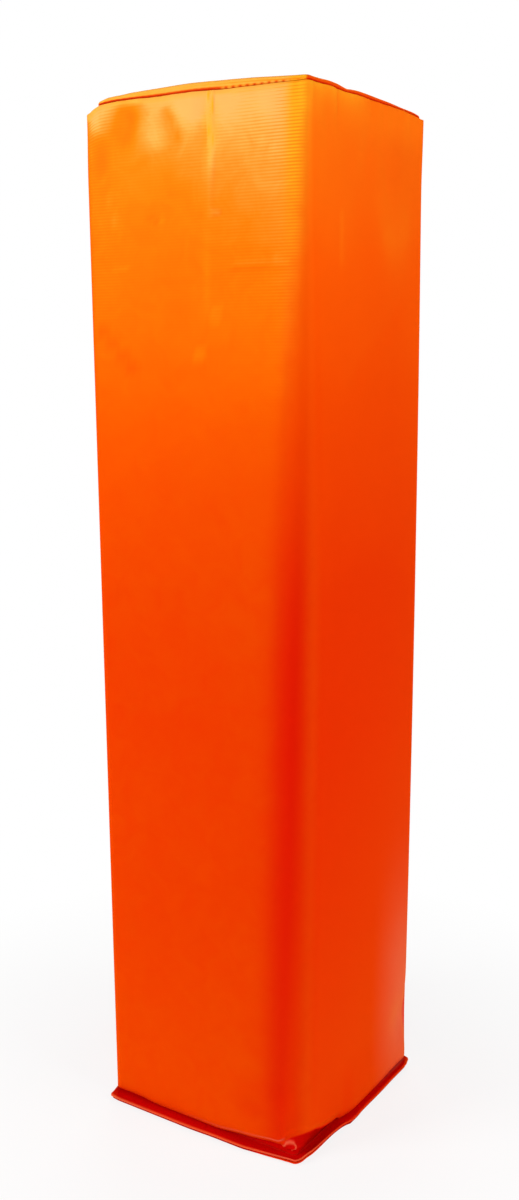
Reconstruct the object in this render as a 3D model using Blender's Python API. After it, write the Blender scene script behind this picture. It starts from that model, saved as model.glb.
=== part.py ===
"""Weighted goal-line pylon: a sewn vinyl cover over a foam block with a sand bag in its foot.

Metres, +Z up. The floor is z = 0 and the pylon stands on it, centred on the Z axis, with its
front wall towards -Y. The wrap is one sheet bent round three corners and closed by a turned seam
at the rear left corner (-X, +Y). Its top edge and the top panel are turned in. Its hem and the
base panel are turned out, and make a flange round the foot.
"""

import math

import bmesh
import bpy

# Overall size
HEIGHT = 0.4572  # floor to the crown of the top panel
WIDTH = 0.1048  # across the stuffed walls
CORNER_RADIUS = 0.0065  # outside of the upright corners

# Materials in the sheet and the seams
VINYL = 0.0006  # thickness of the coated cover fabric
BAG_CLOTH = 0.0005  # thickness of the sand bag's fabric
THREAD = 0.0004  # diameter of the sewing thread
SEAT = 0.0003  # gap between pieces that touch

# Top seam, turned in under the rim of the top panel
TOP_ALLOWANCE = 0.0080  # how far both turned edges reach in from the wall
TOP_BEND = 0.0012  # radius of the wrap's turned edge
TOP_CORNER_RADIUS = 0.0030  # plan radius of the cover's corners at the top seam
TOP_EASE = 0.0120  # height over which the upright corners draw in to the top seam
CROWN_RISE = 0.0014  # from the rolled rim up to the crown
TOP_STITCH_IN = 0.0016  # stitching, in from the middle of the fold
TOP_SEAM_NOTCH = 0.0006  # the closing seam's folds end this far below the turned edge

# Base seam, turned out as a flange round the foot
FLANGE_REACH = 0.0032  # the hem, out past the wall
BASE_PANEL_PROUD = 0.0006  # the base panel, out past the hem
FLANGE_CORNER_RADIUS = 0.0080  # plan radius of the flange's corners
SEAM_INSET = 0.0030  # the seam line, in from the wall
SEAM_CORNER_RADIUS = 0.0020  # plan radius of the cover's corners at the base seam
HEEL_HEIGHT = 0.0050  # the wall's curl down to the seam
HEEL_EASE = 0.0150  # height over which the upright corners round off above the heel
BASE_SLOPE_RUN = 0.0090  # the base panel's rise from the floor to the seam line
BASE_STITCH_OUT = 0.0010  # stitching, out from the middle of the fold

# Closing seam of the wrap, turned in behind the rear wall
SIDE_ALLOWANCE = 0.0080  # how far both turned edges reach in from the corner
SIDE_BEND = 0.0005  # radius of the left wall's turned edge
SIDE_STITCH_IN = 0.0020  # stitching, in from the middle of the fold

# Sand bag
BAG_TOP = 0.0480  # top of the bag above the floor
BAG_CORNER_RADIUS = 0.0085
BAG_SHOULDER = 0.0060  # height of the bag's upper rounding
BAG_SHOULDER_IN = 0.0050  # and how far it draws in
BAG_HEEL_CLEAR = 0.0018  # the bag meets the wall this far above the wall's curl
BAG_FOOT_IN = 0.0016  # the bag's foot, in from the base seam line
BAG_ALLOWANCE = 0.0050  # turned edges of the bag's own seam
BAG_STITCH_IN = 0.0020  # stitching, in from the bag's wall

# Smoothness of the round parts
CORNER_SEGMENTS = 5
SPLIT_SEGMENTS = 2  # each half of the corner that the closing seam splits
BEND_SEGMENTS = 4
SHARPEST = 0.0002  # smallest plan radius that a corner is drawn with
SHADE_ANGLE = math.radians(35)

# Sizes that follow from those above
MID = VINYL / 2
WALL = WIDTH / 2 - MID  # middle of the wrap's thickness
LAYER = VINYL + SEAT  # from one vinyl layer to the next, middle to middle
STITCH_ROOM = THREAD + 2 * SEAT  # clear space that holds a run of thread
FOLD = (VINYL + STITCH_ROOM) / 2  # radius of a fold with thread inside it
THREAD_OFF = MID + SEAT + THREAD / 2  # thread beside a layer, middle to middle

TOP_SEAM = HEIGHT - MID - CROWN_RISE - 2 * FOLD - LAYER  # the wrap's turned edge
FLANGE_LIFT = STITCH_ROOM  # the flange's underside clears the floor by its stitching
PANEL_FLANGE = FLANGE_LIFT + MID  # the base panel's edge
HEM = PANEL_FLANGE + LAYER  # the wrap's hem, on the base panel's edge
HEEL = HEM + 2 * FOLD  # where the wall starts its curl
HEEL_TOP = HEEL + HEEL_HEIGHT

SIDE_OUTER = 2 * FOLD  # first turned edge of the closing seam, in from the rear wall
SIDE_INNER = SIDE_OUTER + LAYER  # second turned edge
SIDE_DROP = SIDE_INNER + SIDE_BEND  # where the left wall starts its turn, below the corner

BAG_SHELL = WALL - MID - SEAT - BAG_CLOTH / 2  # middle of the bag's wall
BAG_FLOOR = VINYL + SEAT + BAG_CLOTH / 2
BAG_LID = BAG_TOP - BAG_CLOTH / 2
BAG_SEAM = BAG_TOP / 2
BAG_LAYER = BAG_CLOTH + SEAT
BAG_HEEL = HEEL_TOP + BAG_HEEL_CLEAR


def clearing_radius(along, across):
    """Radius of a rounded corner that just clears a block of this size laid in the corner."""
    return along + across + math.sqrt(2 * along * across)


# The bag's corner at the closing seam goes round the seam's turned edges and their stitching
BAG_SEAM_CORNER_RADIUS = clearing_radius(
    SIDE_ALLOWANCE + SEAT - (WALL - BAG_SHELL),
    SIDE_INNER + MID + STITCH_ROOM + BAG_CLOTH / 2 - (WALL - BAG_SHELL),
)

FOAM_FOOT = BAG_TOP + SEAT
FOAM_HALF = WIDTH / 2 - VINYL - SEAT
FOAM_RIM = TOP_SEAM - MID - STITCH_ROOM  # under the top seam's turned edges


def clear_scene():
    """Removes whatever the scene holds."""
    for old in list(bpy.data.objects):
        bpy.data.objects.remove(old, do_unlink=True)


def arc(centre, radius, start, end, segments):
    """Points on an arc, both ends included, with the angles in degrees."""
    angles = [math.radians(start + (end - start) * i / segments) for i in range(segments + 1)]
    return [(centre[0] + radius * math.cos(a), centre[1] + radius * math.sin(a)) for a in angles]


def square_loop(half, radius, seam_corner_radius=None):
    """A closed rounded square, seen in plan. The rear left corner may have a radius of its own."""
    last = radius if seam_corner_radius is None else seam_corner_radius
    corners = ((-1, -1, radius), (1, -1, radius), (1, 1, radius), (-1, 1, last))
    points = []
    for turn, (x_side, y_side, wanted) in enumerate(corners):
        r = max(wanted, SHARPEST)
        centre = (x_side * (half - r), y_side * (half - r))
        points += arc(centre, r, 180 + 90 * turn, 270 + 90 * turn, CORNER_SEGMENTS)
    return points


def open_square(half, radius, drop, setback):
    """A rounded square left open at the rear left corner, from the left wall round to the rear.

    Without a drop the two ends meet in the middle of that corner's rounding, a slit apart.
    With one they stop short of it, each on its own wall.
    """
    radius = max(radius, SHARPEST)
    reach = half - radius
    if drop:
        shares = [step / SPLIT_SEGMENTS for step in range(SPLIT_SEGMENTS + 1)]
        points = [(-half, half - drop - share * drop) for share in shares]
        tail = [(-half + setback + share * setback, half) for share in shares[::-1]]
    else:
        slit = math.degrees(SEAT / 2 / radius)
        points = arc((-reach, reach), radius, 135 + slit, 180, SPLIT_SEGMENTS)
        tail = arc((-reach, reach), radius, 90, 135 - slit, SPLIT_SEGMENTS)
    for turn, (x_side, y_side) in enumerate(((-1, -1), (1, -1), (1, 1))):
        centre = (x_side * reach, y_side * reach)
        points += arc(centre, radius, 180 + 90 * turn, 270 + 90 * turn, CORNER_SEGMENTS)
    return points + tail


def links(verts, closed):
    """The pairs of neighbours along a run of points."""
    return zip(verts, verts[1:] + verts[:1] if closed else verts[1:])


def start_run(bm, points, closed):
    """Adds a run of points joined by edges, and returns its points."""
    verts = [bm.verts.new(point) for point in points]
    for pair in links(verts, closed):
        bm.edges.new(pair)
    return verts


def extrude_run(bm, verts, points, closed):
    """Extrudes a run of points as a band of faces whose far side passes through new points."""
    edges = [bm.edges.get(pair) for pair in links(verts, closed)]
    made = bmesh.ops.extrude_edge_only(bm, edges=edges)["geom"]
    fresh = {item for item in made if isinstance(item, bmesh.types.BMVert)}
    after = []
    for vert, point in zip(verts, points):
        far = next(e.other_vert(vert) for e in vert.link_edges if e.other_vert(vert) in fresh)
        far.co = point
        after.append(far)
    return after


def close_loop(bm, verts):
    """Fills a closed run of points with one face."""
    edges = [bm.edges.get(pair) for pair in links(verts, closed=True)]
    bmesh.ops.contextual_create(bm, geom=edges)


def finish_mesh(bm, name, location):
    """Turns a bmesh into a named object, smooth but for its folds."""
    bmesh.ops.recalc_face_normals(bm, faces=bm.faces)
    mesh = bpy.data.meshes.new(name)
    bm.to_mesh(mesh)
    bm.free()
    mesh.shade_smooth()
    mesh.set_sharp_from_angle(angle=SHADE_ANGLE)
    obj = bpy.data.objects.new(name, mesh)
    obj.location = location
    bpy.context.scene.collection.objects.link(obj)
    return obj


def thicken(obj, thickness):
    """Gives a surface the thickness of its sheet, half to each side."""
    solidify = obj.modifiers.new("sheet_thickness", "SOLIDIFY")
    solidify.thickness = thickness
    solidify.offset = 0
    solidify.use_even_offset = True


def lathe_square(name, rows, location, capped=(False, False), seam_corner=False):
    """Bands round the Z axis through rows of (half width, height, plan radius).

    With seam_corner, the fourth value of a row is the rear left corner's radius.
    """
    bm = bmesh.new()
    verts = []
    for half, z, radius, *seam_radius in rows:
        corner = seam_radius[0] if seam_corner else None
        loop = [(x, y, z) for x, y in square_loop(half, radius, corner)]
        if verts:
            verts = extrude_run(bm, verts, loop, closed=True)
        else:
            verts = first = start_run(bm, loop, closed=True)
    for wanted, run in zip(capped, (first, verts)):
        if wanted:
            close_loop(bm, run)
    return finish_mesh(bm, name, location)


def thread_run(name, points, location, closed):
    """A run of sewing thread along a line of points."""
    curve = bpy.data.curves.new(name, "CURVE")
    curve.dimensions = "3D"
    curve.bevel_depth = THREAD / 2
    curve.bevel_resolution = 1
    curve.use_fill_caps = not closed
    spline = curve.splines.new("POLY")
    spline.points.add(len(points) - 1)
    for spot, point in zip(spline.points, points):
        spot.co = (*point, 1)
    spline.use_cyclic_u = closed
    obj = bpy.data.objects.new(name, curve)
    obj.location = location
    bpy.context.scene.collection.objects.link(obj)
    return obj


def thread_ring(name, half, radius, z, location, seam_corner_radius=None):
    """A run of thread right round a seam."""
    points = [(x, y, z) for x, y in square_loop(half, radius, seam_corner_radius)]
    return thread_run(name, points, location, closed=True)


def ease(share):
    """Runs from 0 to 1 with a level start and end."""
    return share * share * (3 - 2 * share)


def wrap_rows():
    """The wrap from hem edge to top edge: half width, height, radius, drop and setback.

    The drop and setback are where the sheet ends at its closing seam, below the rear left corner
    on the left wall and beside it on the rear wall. Both are zero at the two turned edges, where
    the seam is a slit through the corner.
    """
    slit = (0, 0)
    seam = (SIDE_DROP, FOLD)
    seam_line = WALL - SEAM_INSET
    fold_centre = (seam_line + FOLD, HEM + FOLD)
    rows = [(WALL + FLANGE_REACH, HEM, FLANGE_CORNER_RADIUS, *slit)]
    for half, z in arc(fold_centre, FOLD, 270, 90, BEND_SEGMENTS):
        rows.append((half, z, SEAM_CORNER_RADIUS, *slit))
    curl_reach = WALL - fold_centre[0]
    for step in range(1, BEND_SEGMENTS + 1):
        angle = math.radians(90 * step / BEND_SEGMENTS)
        half = fold_centre[0] + curl_reach * math.sin(angle)
        z = HEEL + HEEL_HEIGHT * (1 - math.cos(angle))
        rows.append((half, z, SEAM_CORNER_RADIUS, *(seam if step > 1 else slit)))
    upright = CORNER_RADIUS - MID
    for step in range(1, BEND_SEGMENTS + 1):
        share = step / BEND_SEGMENTS
        radius = SEAM_CORNER_RADIUS + (upright - SEAM_CORNER_RADIUS) * ease(share)
        rows.append((WALL, HEEL_TOP + HEEL_EASE * share, radius, *seam))
    wall_top = TOP_SEAM - TOP_BEND
    for step in range(BEND_SEGMENTS + 1):
        share = step / BEND_SEGMENTS
        radius = upright + (TOP_CORNER_RADIUS - upright) * ease(share)
        z = wall_top - TOP_SEAM_NOTCH - TOP_EASE * (1 - share)
        rows.append((WALL, z, radius, *seam))
    for half, z in arc((WALL - TOP_BEND, wall_top), TOP_BEND, 0, 90, BEND_SEGMENTS):
        rows.append((half, z, TOP_CORNER_RADIUS - (WALL - half), *slit))
    rows.append((WALL - TOP_ALLOWANCE, TOP_SEAM, TOP_CORNER_RADIUS - TOP_BEND, *slit))
    return rows


def seam_edge_paths():
    """The closing seam's turned edges in plan, for the left wall and for the rear wall.

    Each point is how far it lies in from the rear left corner, along X and along Y.
    """
    left = arc((SIDE_BEND, -SIDE_DROP), SIDE_BEND, 180, 90, BEND_SEGMENTS)[1:]
    rear = arc((FOLD, -FOLD), FOLD, 90, 270, BEND_SEGMENTS)[1:]
    return left + [(SIDE_ALLOWANCE, -SIDE_INNER)], rear + [(SIDE_ALLOWANCE, -SIDE_OUTER)]


def side_wrap():
    """The cover's four walls, one sheet with its hem turned out and its other edges turned in."""
    rows = wrap_rows()
    bm = bmesh.new()
    run, left_ends, rear_ends = [], [], []
    for half, z, radius, drop, setback in rows:
        path = [(x, y, z) for x, y in open_square(half, radius, drop, setback)]
        if run:
            run = extrude_run(bm, run, path, closed=False)
        else:
            run = start_run(bm, path, closed=False)
        left_ends.append(run[0])
        rear_ends.append(run[-1])
    turned = [i for i, row in enumerate(rows) if row[3] == SIDE_DROP]
    for column, path in zip((left_ends, rear_ends), seam_edge_paths()):
        run = [column[i] for i in turned]
        for x_in, y_in in path:
            points = [(x_in - rows[i][0], rows[i][0] + y_in, rows[i][1]) for i in turned]
            run = extrude_run(bm, run, points, closed=False)
    obj = finish_mesh(bm, "side_wrap", (0, 0, 0))
    thicken(obj, VINYL)
    return obj


def top_panel():
    """The square top, its edge turned in under its own rolled rim."""
    under = LAYER
    over = under + 2 * FOLD
    rows = [(WALL - TOP_ALLOWANCE, under, TOP_CORNER_RADIUS - TOP_BEND)]
    for half, z in arc((WALL - FOLD, under + FOLD), FOLD, 270, 450, BEND_SEGMENTS):
        rows.append((half, z, TOP_CORNER_RADIUS - (WALL - half)))
    for step in range(1, BEND_SEGMENTS + 1):
        share = step / (BEND_SEGMENTS + 1)
        rise = CROWN_RISE * math.sin(math.radians(90 * step / BEND_SEGMENTS))
        rows.append(((WALL - FOLD) * (1 - share), over + rise, 2 * TOP_CORNER_RADIUS))
    obj = lathe_square("top_panel", rows, (0, 0, TOP_SEAM), capped=(False, True))
    thicken(obj, VINYL)
    return obj


def base_panel():
    """The square base, flat on the floor, its edge raised to the seam and out under the hem."""
    seam_line = WALL - SEAM_INSET
    rows = [
        (WALL + FLANGE_REACH + BASE_PANEL_PROUD, PANEL_FLANGE, FLANGE_CORNER_RADIUS),
        (seam_line, PANEL_FLANGE, SEAM_CORNER_RADIUS),
        (seam_line - BASE_SLOPE_RUN, MID, SEAM_CORNER_RADIUS),
    ]
    obj = lathe_square("base_panel", rows, (0, 0, 0), capped=(False, True))
    thicken(obj, VINYL)
    return obj


def foam_core():
    """The foam block, raised inside the top seam's turned edges and pressed in along the side's."""
    crown_edge = WALL - TOP_ALLOWANCE - MID - SEAT
    crown_low = TOP_SEAM + LAYER + 2 * FOLD - MID - SEAT
    body_radius = CORNER_RADIUS - VINYL - SEAT
    top_radius = TOP_CORNER_RADIUS
    rim = FOAM_RIM - FOAM_FOOT
    rows = [
        (FOAM_HALF, 0, body_radius),
        (FOAM_HALF, rim - TOP_EASE, body_radius),
        (FOAM_HALF, rim - TOP_BEND, top_radius),
        (FOAM_HALF - TOP_BEND, rim, top_radius),
        (crown_edge, rim, top_radius),
        (crown_edge, crown_low - FOAM_FOOT, top_radius),
    ]
    obj = lathe_square("foam_core", rows, (0, 0, FOAM_FOOT), capped=(True, True))
    room = SIDE_INNER + MID + STITCH_ROOM
    reach = SIDE_ALLOWANCE + SEAT
    bm = bmesh.new()
    bmesh.ops.create_cube(bm, size=1)
    bmesh.ops.scale(bm, vec=(2 * reach, 2 * room, 2 * HEIGHT), verts=bm.verts)
    cutter = finish_mesh(bm, "foam_impression", (-WALL, WALL, 0))
    cutter.hide_render = True
    cutter.display_type = "WIRE"
    cut = obj.modifiers.new("side_seam_impression", "BOOLEAN")
    cut.object = cutter
    cut.operation = "DIFFERENCE"
    return obj, cutter


def bag_foot_rows(inset):
    """The bag's lower half without its turned edge, drawn in by an inset for what it holds."""
    foot = WALL - SEAM_INSET
    radius = BAG_CORNER_RADIUS - inset
    seam_radius = BAG_SEAM_CORNER_RADIUS - inset
    return [
        (foot - BASE_SLOPE_RUN - inset, BAG_FLOOR + inset, radius, seam_radius),
        (foot - BAG_FOOT_IN - inset, BAG_FLOOR + FLANGE_LIFT + inset, radius, seam_radius),
        (BAG_SHELL - inset, BAG_HEEL, radius, seam_radius),
    ]


def bag_lid_rows(inset):
    """The bag's upper half without its turned edge, from its wall up to its lid."""
    radius = BAG_CORNER_RADIUS - inset
    seam_radius = BAG_SEAM_CORNER_RADIUS - inset
    rows = []
    for step in range(BEND_SEGMENTS + 1):
        angle = math.radians(90 * step / BEND_SEGMENTS)
        half = BAG_SHELL - inset - BAG_SHOULDER_IN * (1 - math.cos(angle))
        z = BAG_LID - inset - BAG_SHOULDER * (1 - math.sin(angle))
        rows.append((half, z, radius, seam_radius))
    return rows


def bag_edge_rows(z):
    """The bag's wall and turned edge at its seam."""
    radius = BAG_CORNER_RADIUS
    seam_radius = BAG_SEAM_CORNER_RADIUS
    turned = (BAG_SHELL - BAG_ALLOWANCE, z, radius - BAG_ALLOWANCE, seam_radius - BAG_ALLOWANCE)
    return [(BAG_SHELL, z, radius, seam_radius), turned]


def ballast_bag_lower():
    """The lower sheet of the sand bag."""
    rows = bag_foot_rows(0) + bag_edge_rows(BAG_SEAM - BAG_LAYER / 2)
    obj = lathe_square("ballast_bag_lower", rows, (0, 0, 0), (True, False), seam_corner=True)
    thicken(obj, BAG_CLOTH)
    return obj


def ballast_bag_upper():
    """The upper sheet of the sand bag."""
    rows = bag_edge_rows(BAG_SEAM + BAG_LAYER / 2)[::-1] + bag_lid_rows(0)
    obj = lathe_square("ballast_bag_upper", rows, (0, 0, 0), (False, True), seam_corner=True)
    thicken(obj, BAG_CLOTH)
    return obj


def ballast_sand():
    """The sand in the bag, with a groove where the bag's turned edges and stitching sit."""
    inset = BAG_CLOTH / 2 + SEAT
    half = BAG_SHELL - inset
    groove = BAG_SHELL - BAG_ALLOWANCE - inset
    room = BAG_LAYER / 2 + BAG_CLOTH / 2 + STITCH_ROOM
    radius = BAG_CORNER_RADIUS - inset
    seam_radius = BAG_SEAM_CORNER_RADIUS - inset
    deep = (radius - BAG_ALLOWANCE, seam_radius - BAG_ALLOWANCE)
    rows = bag_foot_rows(inset)
    rows += [(half, BAG_SEAM - room, radius, seam_radius), (groove, BAG_SEAM - room, *deep)]
    rows += [(groove, BAG_SEAM + room, *deep), (half, BAG_SEAM + room, radius, seam_radius)]
    rows += bag_lid_rows(inset)
    return lathe_square("ballast_sand", rows, (0, 0, 0), (True, True), seam_corner=True)


def seam_threads():
    """The two threads of each seam: the needle's on its upper or outer side, the bobbin's behind."""
    floor = (0, 0, 0)
    top = (0, 0, TOP_SEAM)
    top_half = WALL - FOLD - TOP_STITCH_IN
    base_half = WALL - SEAM_INSET + FOLD + BASE_STITCH_OUT
    bag_half = BAG_SHELL - BAG_STITCH_IN
    bag_off = BAG_LAYER / 2 + BAG_CLOTH / 2 + SEAT + THREAD / 2
    bag_radii = (BAG_CORNER_RADIUS, BAG_SEAM_CORNER_RADIUS)
    side_x = -WALL + FOLD + SIDE_STITCH_IN
    side_run = (HEEL_TOP, TOP_SEAM - TOP_BEND - TOP_SEAM_NOTCH - THREAD_OFF)
    heights = {
        "needle": (LAYER + THREAD_OFF, HEM + THREAD_OFF, THREAD_OFF, BAG_SEAM + bag_off),
        "bobbin": (-THREAD_OFF, PANEL_FLANGE - THREAD_OFF, SIDE_INNER + THREAD_OFF, BAG_SEAM - bag_off),
    }
    made = []
    for kind, (top_z, base_z, side_in, bag_z) in heights.items():
        side = [(side_x, WALL - side_in, z) for z in side_run]
        made += [
            thread_ring(f"top_seam_{kind}_thread", top_half, TOP_CORNER_RADIUS, top_z, top),
            thread_ring(f"base_seam_{kind}_thread", base_half, SEAM_CORNER_RADIUS, base_z, floor),
            thread_run(f"back_seam_{kind}_thread", side, floor, closed=False),
            thread_ring(f"ballast_seam_{kind}_thread", bag_half, bag_radii[0], bag_z, floor, bag_radii[1]),
        ]
    return made


def finish(name, colour, roughness):
    """A plain surface finish."""
    material = bpy.data.materials.new(name)
    material.use_nodes = True
    surface = material.node_tree.nodes["Principled BSDF"]
    surface.inputs["Base Color"].default_value = (*colour, 1)
    surface.inputs["Roughness"].default_value = roughness
    surface.inputs["Metallic"].default_value = 0
    material.diffuse_color = (*colour, 1)
    return material


def dress(obj, material):
    """Gives an object its one finish."""
    obj.data.materials.append(material)


def main():
    """Builds the pylon and hangs every piece on one empty at the middle of its foot."""
    clear_scene()
    vinyl = finish("orange_vinyl", (0.85, 0.10, 0.005), 0.38)
    thread = finish("orange_thread", (0.55, 0.03, 0.005), 0.6)
    foam = finish("grey_foam", (0.35, 0.35, 0.34), 0.95)
    cloth = finish("bag_cloth", (0.60, 0.60, 0.56), 0.8)
    sand = finish("dry_sand", (0.52, 0.42, 0.28), 0.95)

    foam_block, impression = foam_core()
    dressed = [(side_wrap(), vinyl), (top_panel(), vinyl), (base_panel(), vinyl)]
    dressed += [(foam_block, foam), (ballast_bag_lower(), cloth), (ballast_bag_upper(), cloth)]
    dressed += [(ballast_sand(), sand)]
    dressed += [(run, thread) for run in seam_threads()]

    root = bpy.data.objects.new("pylon", None)
    bpy.context.scene.collection.objects.link(root)
    for obj, material in dressed:
        dress(obj, material)
        obj.parent = root
    impression.parent = root


main()
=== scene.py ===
"""Looks of the goal-line pylon: a sewn orange vinyl cover over foam, with a sand bag in its foot.

Every piece is laid out on the straight square form of the CAD model, in metres, and is then
settled into the way that the stuffed pylon stands: turned a little about its own axis, wider at
the top and leaning towards the front. The front wall faces -Y and the right wall +X.
"""

import logging
import math
from dataclasses import dataclass
from enum import Enum, IntEnum

import bmesh
import bpy
import numpy as np
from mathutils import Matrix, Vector

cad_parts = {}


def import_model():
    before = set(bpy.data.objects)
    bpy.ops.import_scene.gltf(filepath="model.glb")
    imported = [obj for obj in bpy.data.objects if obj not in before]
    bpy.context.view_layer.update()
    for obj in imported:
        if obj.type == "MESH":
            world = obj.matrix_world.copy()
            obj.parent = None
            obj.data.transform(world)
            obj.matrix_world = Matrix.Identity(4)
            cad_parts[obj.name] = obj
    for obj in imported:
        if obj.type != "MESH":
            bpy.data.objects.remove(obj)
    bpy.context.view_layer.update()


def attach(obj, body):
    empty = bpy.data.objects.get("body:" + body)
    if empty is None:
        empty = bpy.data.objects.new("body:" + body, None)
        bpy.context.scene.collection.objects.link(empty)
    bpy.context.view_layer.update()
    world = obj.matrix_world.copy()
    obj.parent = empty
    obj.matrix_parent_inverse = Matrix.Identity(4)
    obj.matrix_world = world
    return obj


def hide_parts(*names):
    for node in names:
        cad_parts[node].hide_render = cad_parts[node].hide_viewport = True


log = logging.getLogger("pylon")

BODY = "root"

HEIGHT = 0.4572  # floor to the crown
WALL = 0.0521  # half width, to the middle of the wall sheet
VINYL = 0.0006  # thickness of the cover sheet
SEAT = 0.0003  # gap between pieces that touch
THREAD = 0.0004
FOLD = 0.0008  # radius of a fold with thread inside it
LAYER = VINYL + SEAT
LOOP = 8 * WALL  # once round the walls
EIGHTH_TURN = math.pi / 4
MM = 0.001
NEAR_CORNER = 2 * WALL  # distance round the walls, from the front left corner
REAR_RIGHT_CORNER = 4 * WALL
REAR_LEFT_CORNER = 6 * WALL
TINY = 1e-6

NORMALS = np.array([[0, -1], [1, 0], [0, 1], [-1, 0]], float)  # of the four walls, seen in plan
ALONGS = np.array([[1, 0], [0, 1], [-1, 0], [0, -1]], float)

Pairs = tuple[tuple[float, float], ...]
Triples = tuple[tuple[float, float, float], ...]
Colour = tuple[float, float, float]
Stops = tuple[tuple[float, Colour], ...]
Source = float | tuple | bpy.types.Node | bpy.types.NodeSocket


class Side(Enum):
    """The four walls, counted anticlockwise seen from above."""

    FRONT = 0
    RIGHT = 1
    BACK = 2
    LEFT = 3


class Hold(Enum):
    """How a sheet is held: every sheet here is drawn tight over what it covers."""

    STRETCHED = "stretched"


class Slot(Enum):
    """The record's material slots."""

    COVER = "cover_vinyl"
    THREAD = "seam_thread"
    FOAM = "foam"
    BAG = "bag_cloth"
    SAND = "sand"


def ease(share: np.ndarray) -> np.ndarray:
    """Runs from 0 to 1 with a level start and end, and stays there outside."""
    t = np.clip(share, 0, 1)
    return t * t * (3 - 2 * t)


def rise(x: np.ndarray, start: float, end: float) -> np.ndarray:
    """Runs from 0 at the start to 1 at the end, level at both and beyond them."""
    return ease((x - start) / (end - start))


def fall(x: np.ndarray, start: float, end: float) -> np.ndarray:
    """Runs from 1 at the start to 0 at the end, level at both and beyond them."""
    return 1 - rise(x, start, end)


def hump(x: np.ndarray, middle: float, width: float | np.ndarray) -> np.ndarray:
    """A smooth hump: 1 in the middle, and about a third at one width to either side."""
    return np.exp(-(((x - middle) / width) ** 2))


def wall_of(loop: np.ndarray) -> tuple[np.ndarray, np.ndarray]:
    """Splits a distance round the walls into a wall and a share across it.

    Args:
        loop: metres round the walls, from the front left corner towards the right.

    Returns:
        The index of the wall, and the share across it, from -1 to 1.
    """
    turns = np.mod(loop, LOOP) / (2 * WALL)
    side = np.minimum(turns.astype(int), 3)
    return side, 2 * (turns - side) - 1


def ring_of(x: np.ndarray, y: np.ndarray) -> tuple[np.ndarray, np.ndarray, np.ndarray]:
    """Splits places in a square grid, counted from its middle, into rings.

    Args:
        x: columns to the right of the middle.
        y: rows above the middle.

    Returns:
        Each place's ring, the index of its wall and its share across the wall.
    """
    ring = np.maximum(np.abs(x), np.abs(y))
    walls = [(y == -ring) & (x < ring), (x == ring) & (y < ring), (y == ring) & (x > -ring)]
    side = np.select(walls, [Side.FRONT.value, Side.RIGHT.value, Side.BACK.value], Side.LEFT.value)
    return ring, side, np.choose(side, [x, y, -x, -y]) / np.maximum(ring, 1)


def loop_at(side: np.ndarray, share: np.ndarray) -> np.ndarray:
    """The distance round the walls of a share across a wall."""
    return (side * 2 + 1 + share) * WALL


def on_ring(side: np.ndarray, share: np.ndarray, half: np.ndarray, radius: np.ndarray) -> np.ndarray:
    """Places points on a rounded square, seen in plan.

    Args:
        side: index of each point's wall.
        share: across the wall, from -1 in the middle of one corner to 1 in that of the next.
        half: half width of the square.
        radius: radius of its corner.

    Returns:
        The points' X and Y.
    """
    flat = half - radius
    run = share * (flat + radius * EIGHTH_TURN)
    turn = np.clip((np.abs(run) - flat) / np.maximum(radius, TINY), 0, EIGHTH_TURN)
    across = np.clip(run, -flat, flat) + np.sign(run) * radius * np.sin(turn)
    out = flat + radius * np.cos(turn)
    return NORMALS[side] * out[:, None] + ALONGS[side] * across[:, None]


@dataclass(frozen=True)
class LoopProfile:
    """A size that changes smoothly round the walls.

    Each wall has pairs of (distance from its middle, size), both in millimetres.
    """

    front: Pairs = ()
    right: Pairs = ()
    back: Pairs = ()
    left: Pairs = ()

    def knots(self) -> tuple[np.ndarray, np.ndarray]:
        """The given sizes in order round the walls, carried on a little past both ends.

        Returns:
            Their distances round the walls and the sizes, in metres.
        """
        walls = (self.front, self.right, self.back, self.left)
        spots = sorted(((2 * side + 1) * WALL + across * MM, size * MM)
                       for side, pairs in enumerate(walls) for across, size in pairs)
        x, y = np.array(spots).T
        return (np.concatenate([x[-2:] - LOOP, x, x[:2] + LOOP]),
                np.concatenate([y[-2:], y, y[:2]]))

    def at(self, loop: np.ndarray) -> np.ndarray:
        """The size at distances round the walls, on a curve that never overshoots.

        Args:
            loop: metres round the walls.

        Returns:
            The sizes, in metres.
        """
        x, y = self.knots()
        step = np.diff(x)
        chord = np.diff(y) / step
        slope = np.zeros_like(y)
        same_way = chord[:-1] * chord[1:] > 0
        mean = 2 * chord[:-1] * chord[1:] / np.where(same_way, chord[:-1] + chord[1:], 1)
        slope[1:-1] = np.where(same_way, mean, 0)
        where = np.mod(loop, LOOP)
        i = np.clip(np.searchsorted(x, where) - 1, 0, len(step) - 1)
        t = (where - x[i]) / step[i]
        near = y[i] * (1 + 2 * t) * (1 - t) ** 2 + slope[i] * step[i] * t * (1 - t) ** 2
        far = y[i + 1] * t * t * (3 - 2 * t) + slope[i + 1] * step[i] * t * t * (t - 1)
        return near + far


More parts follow.
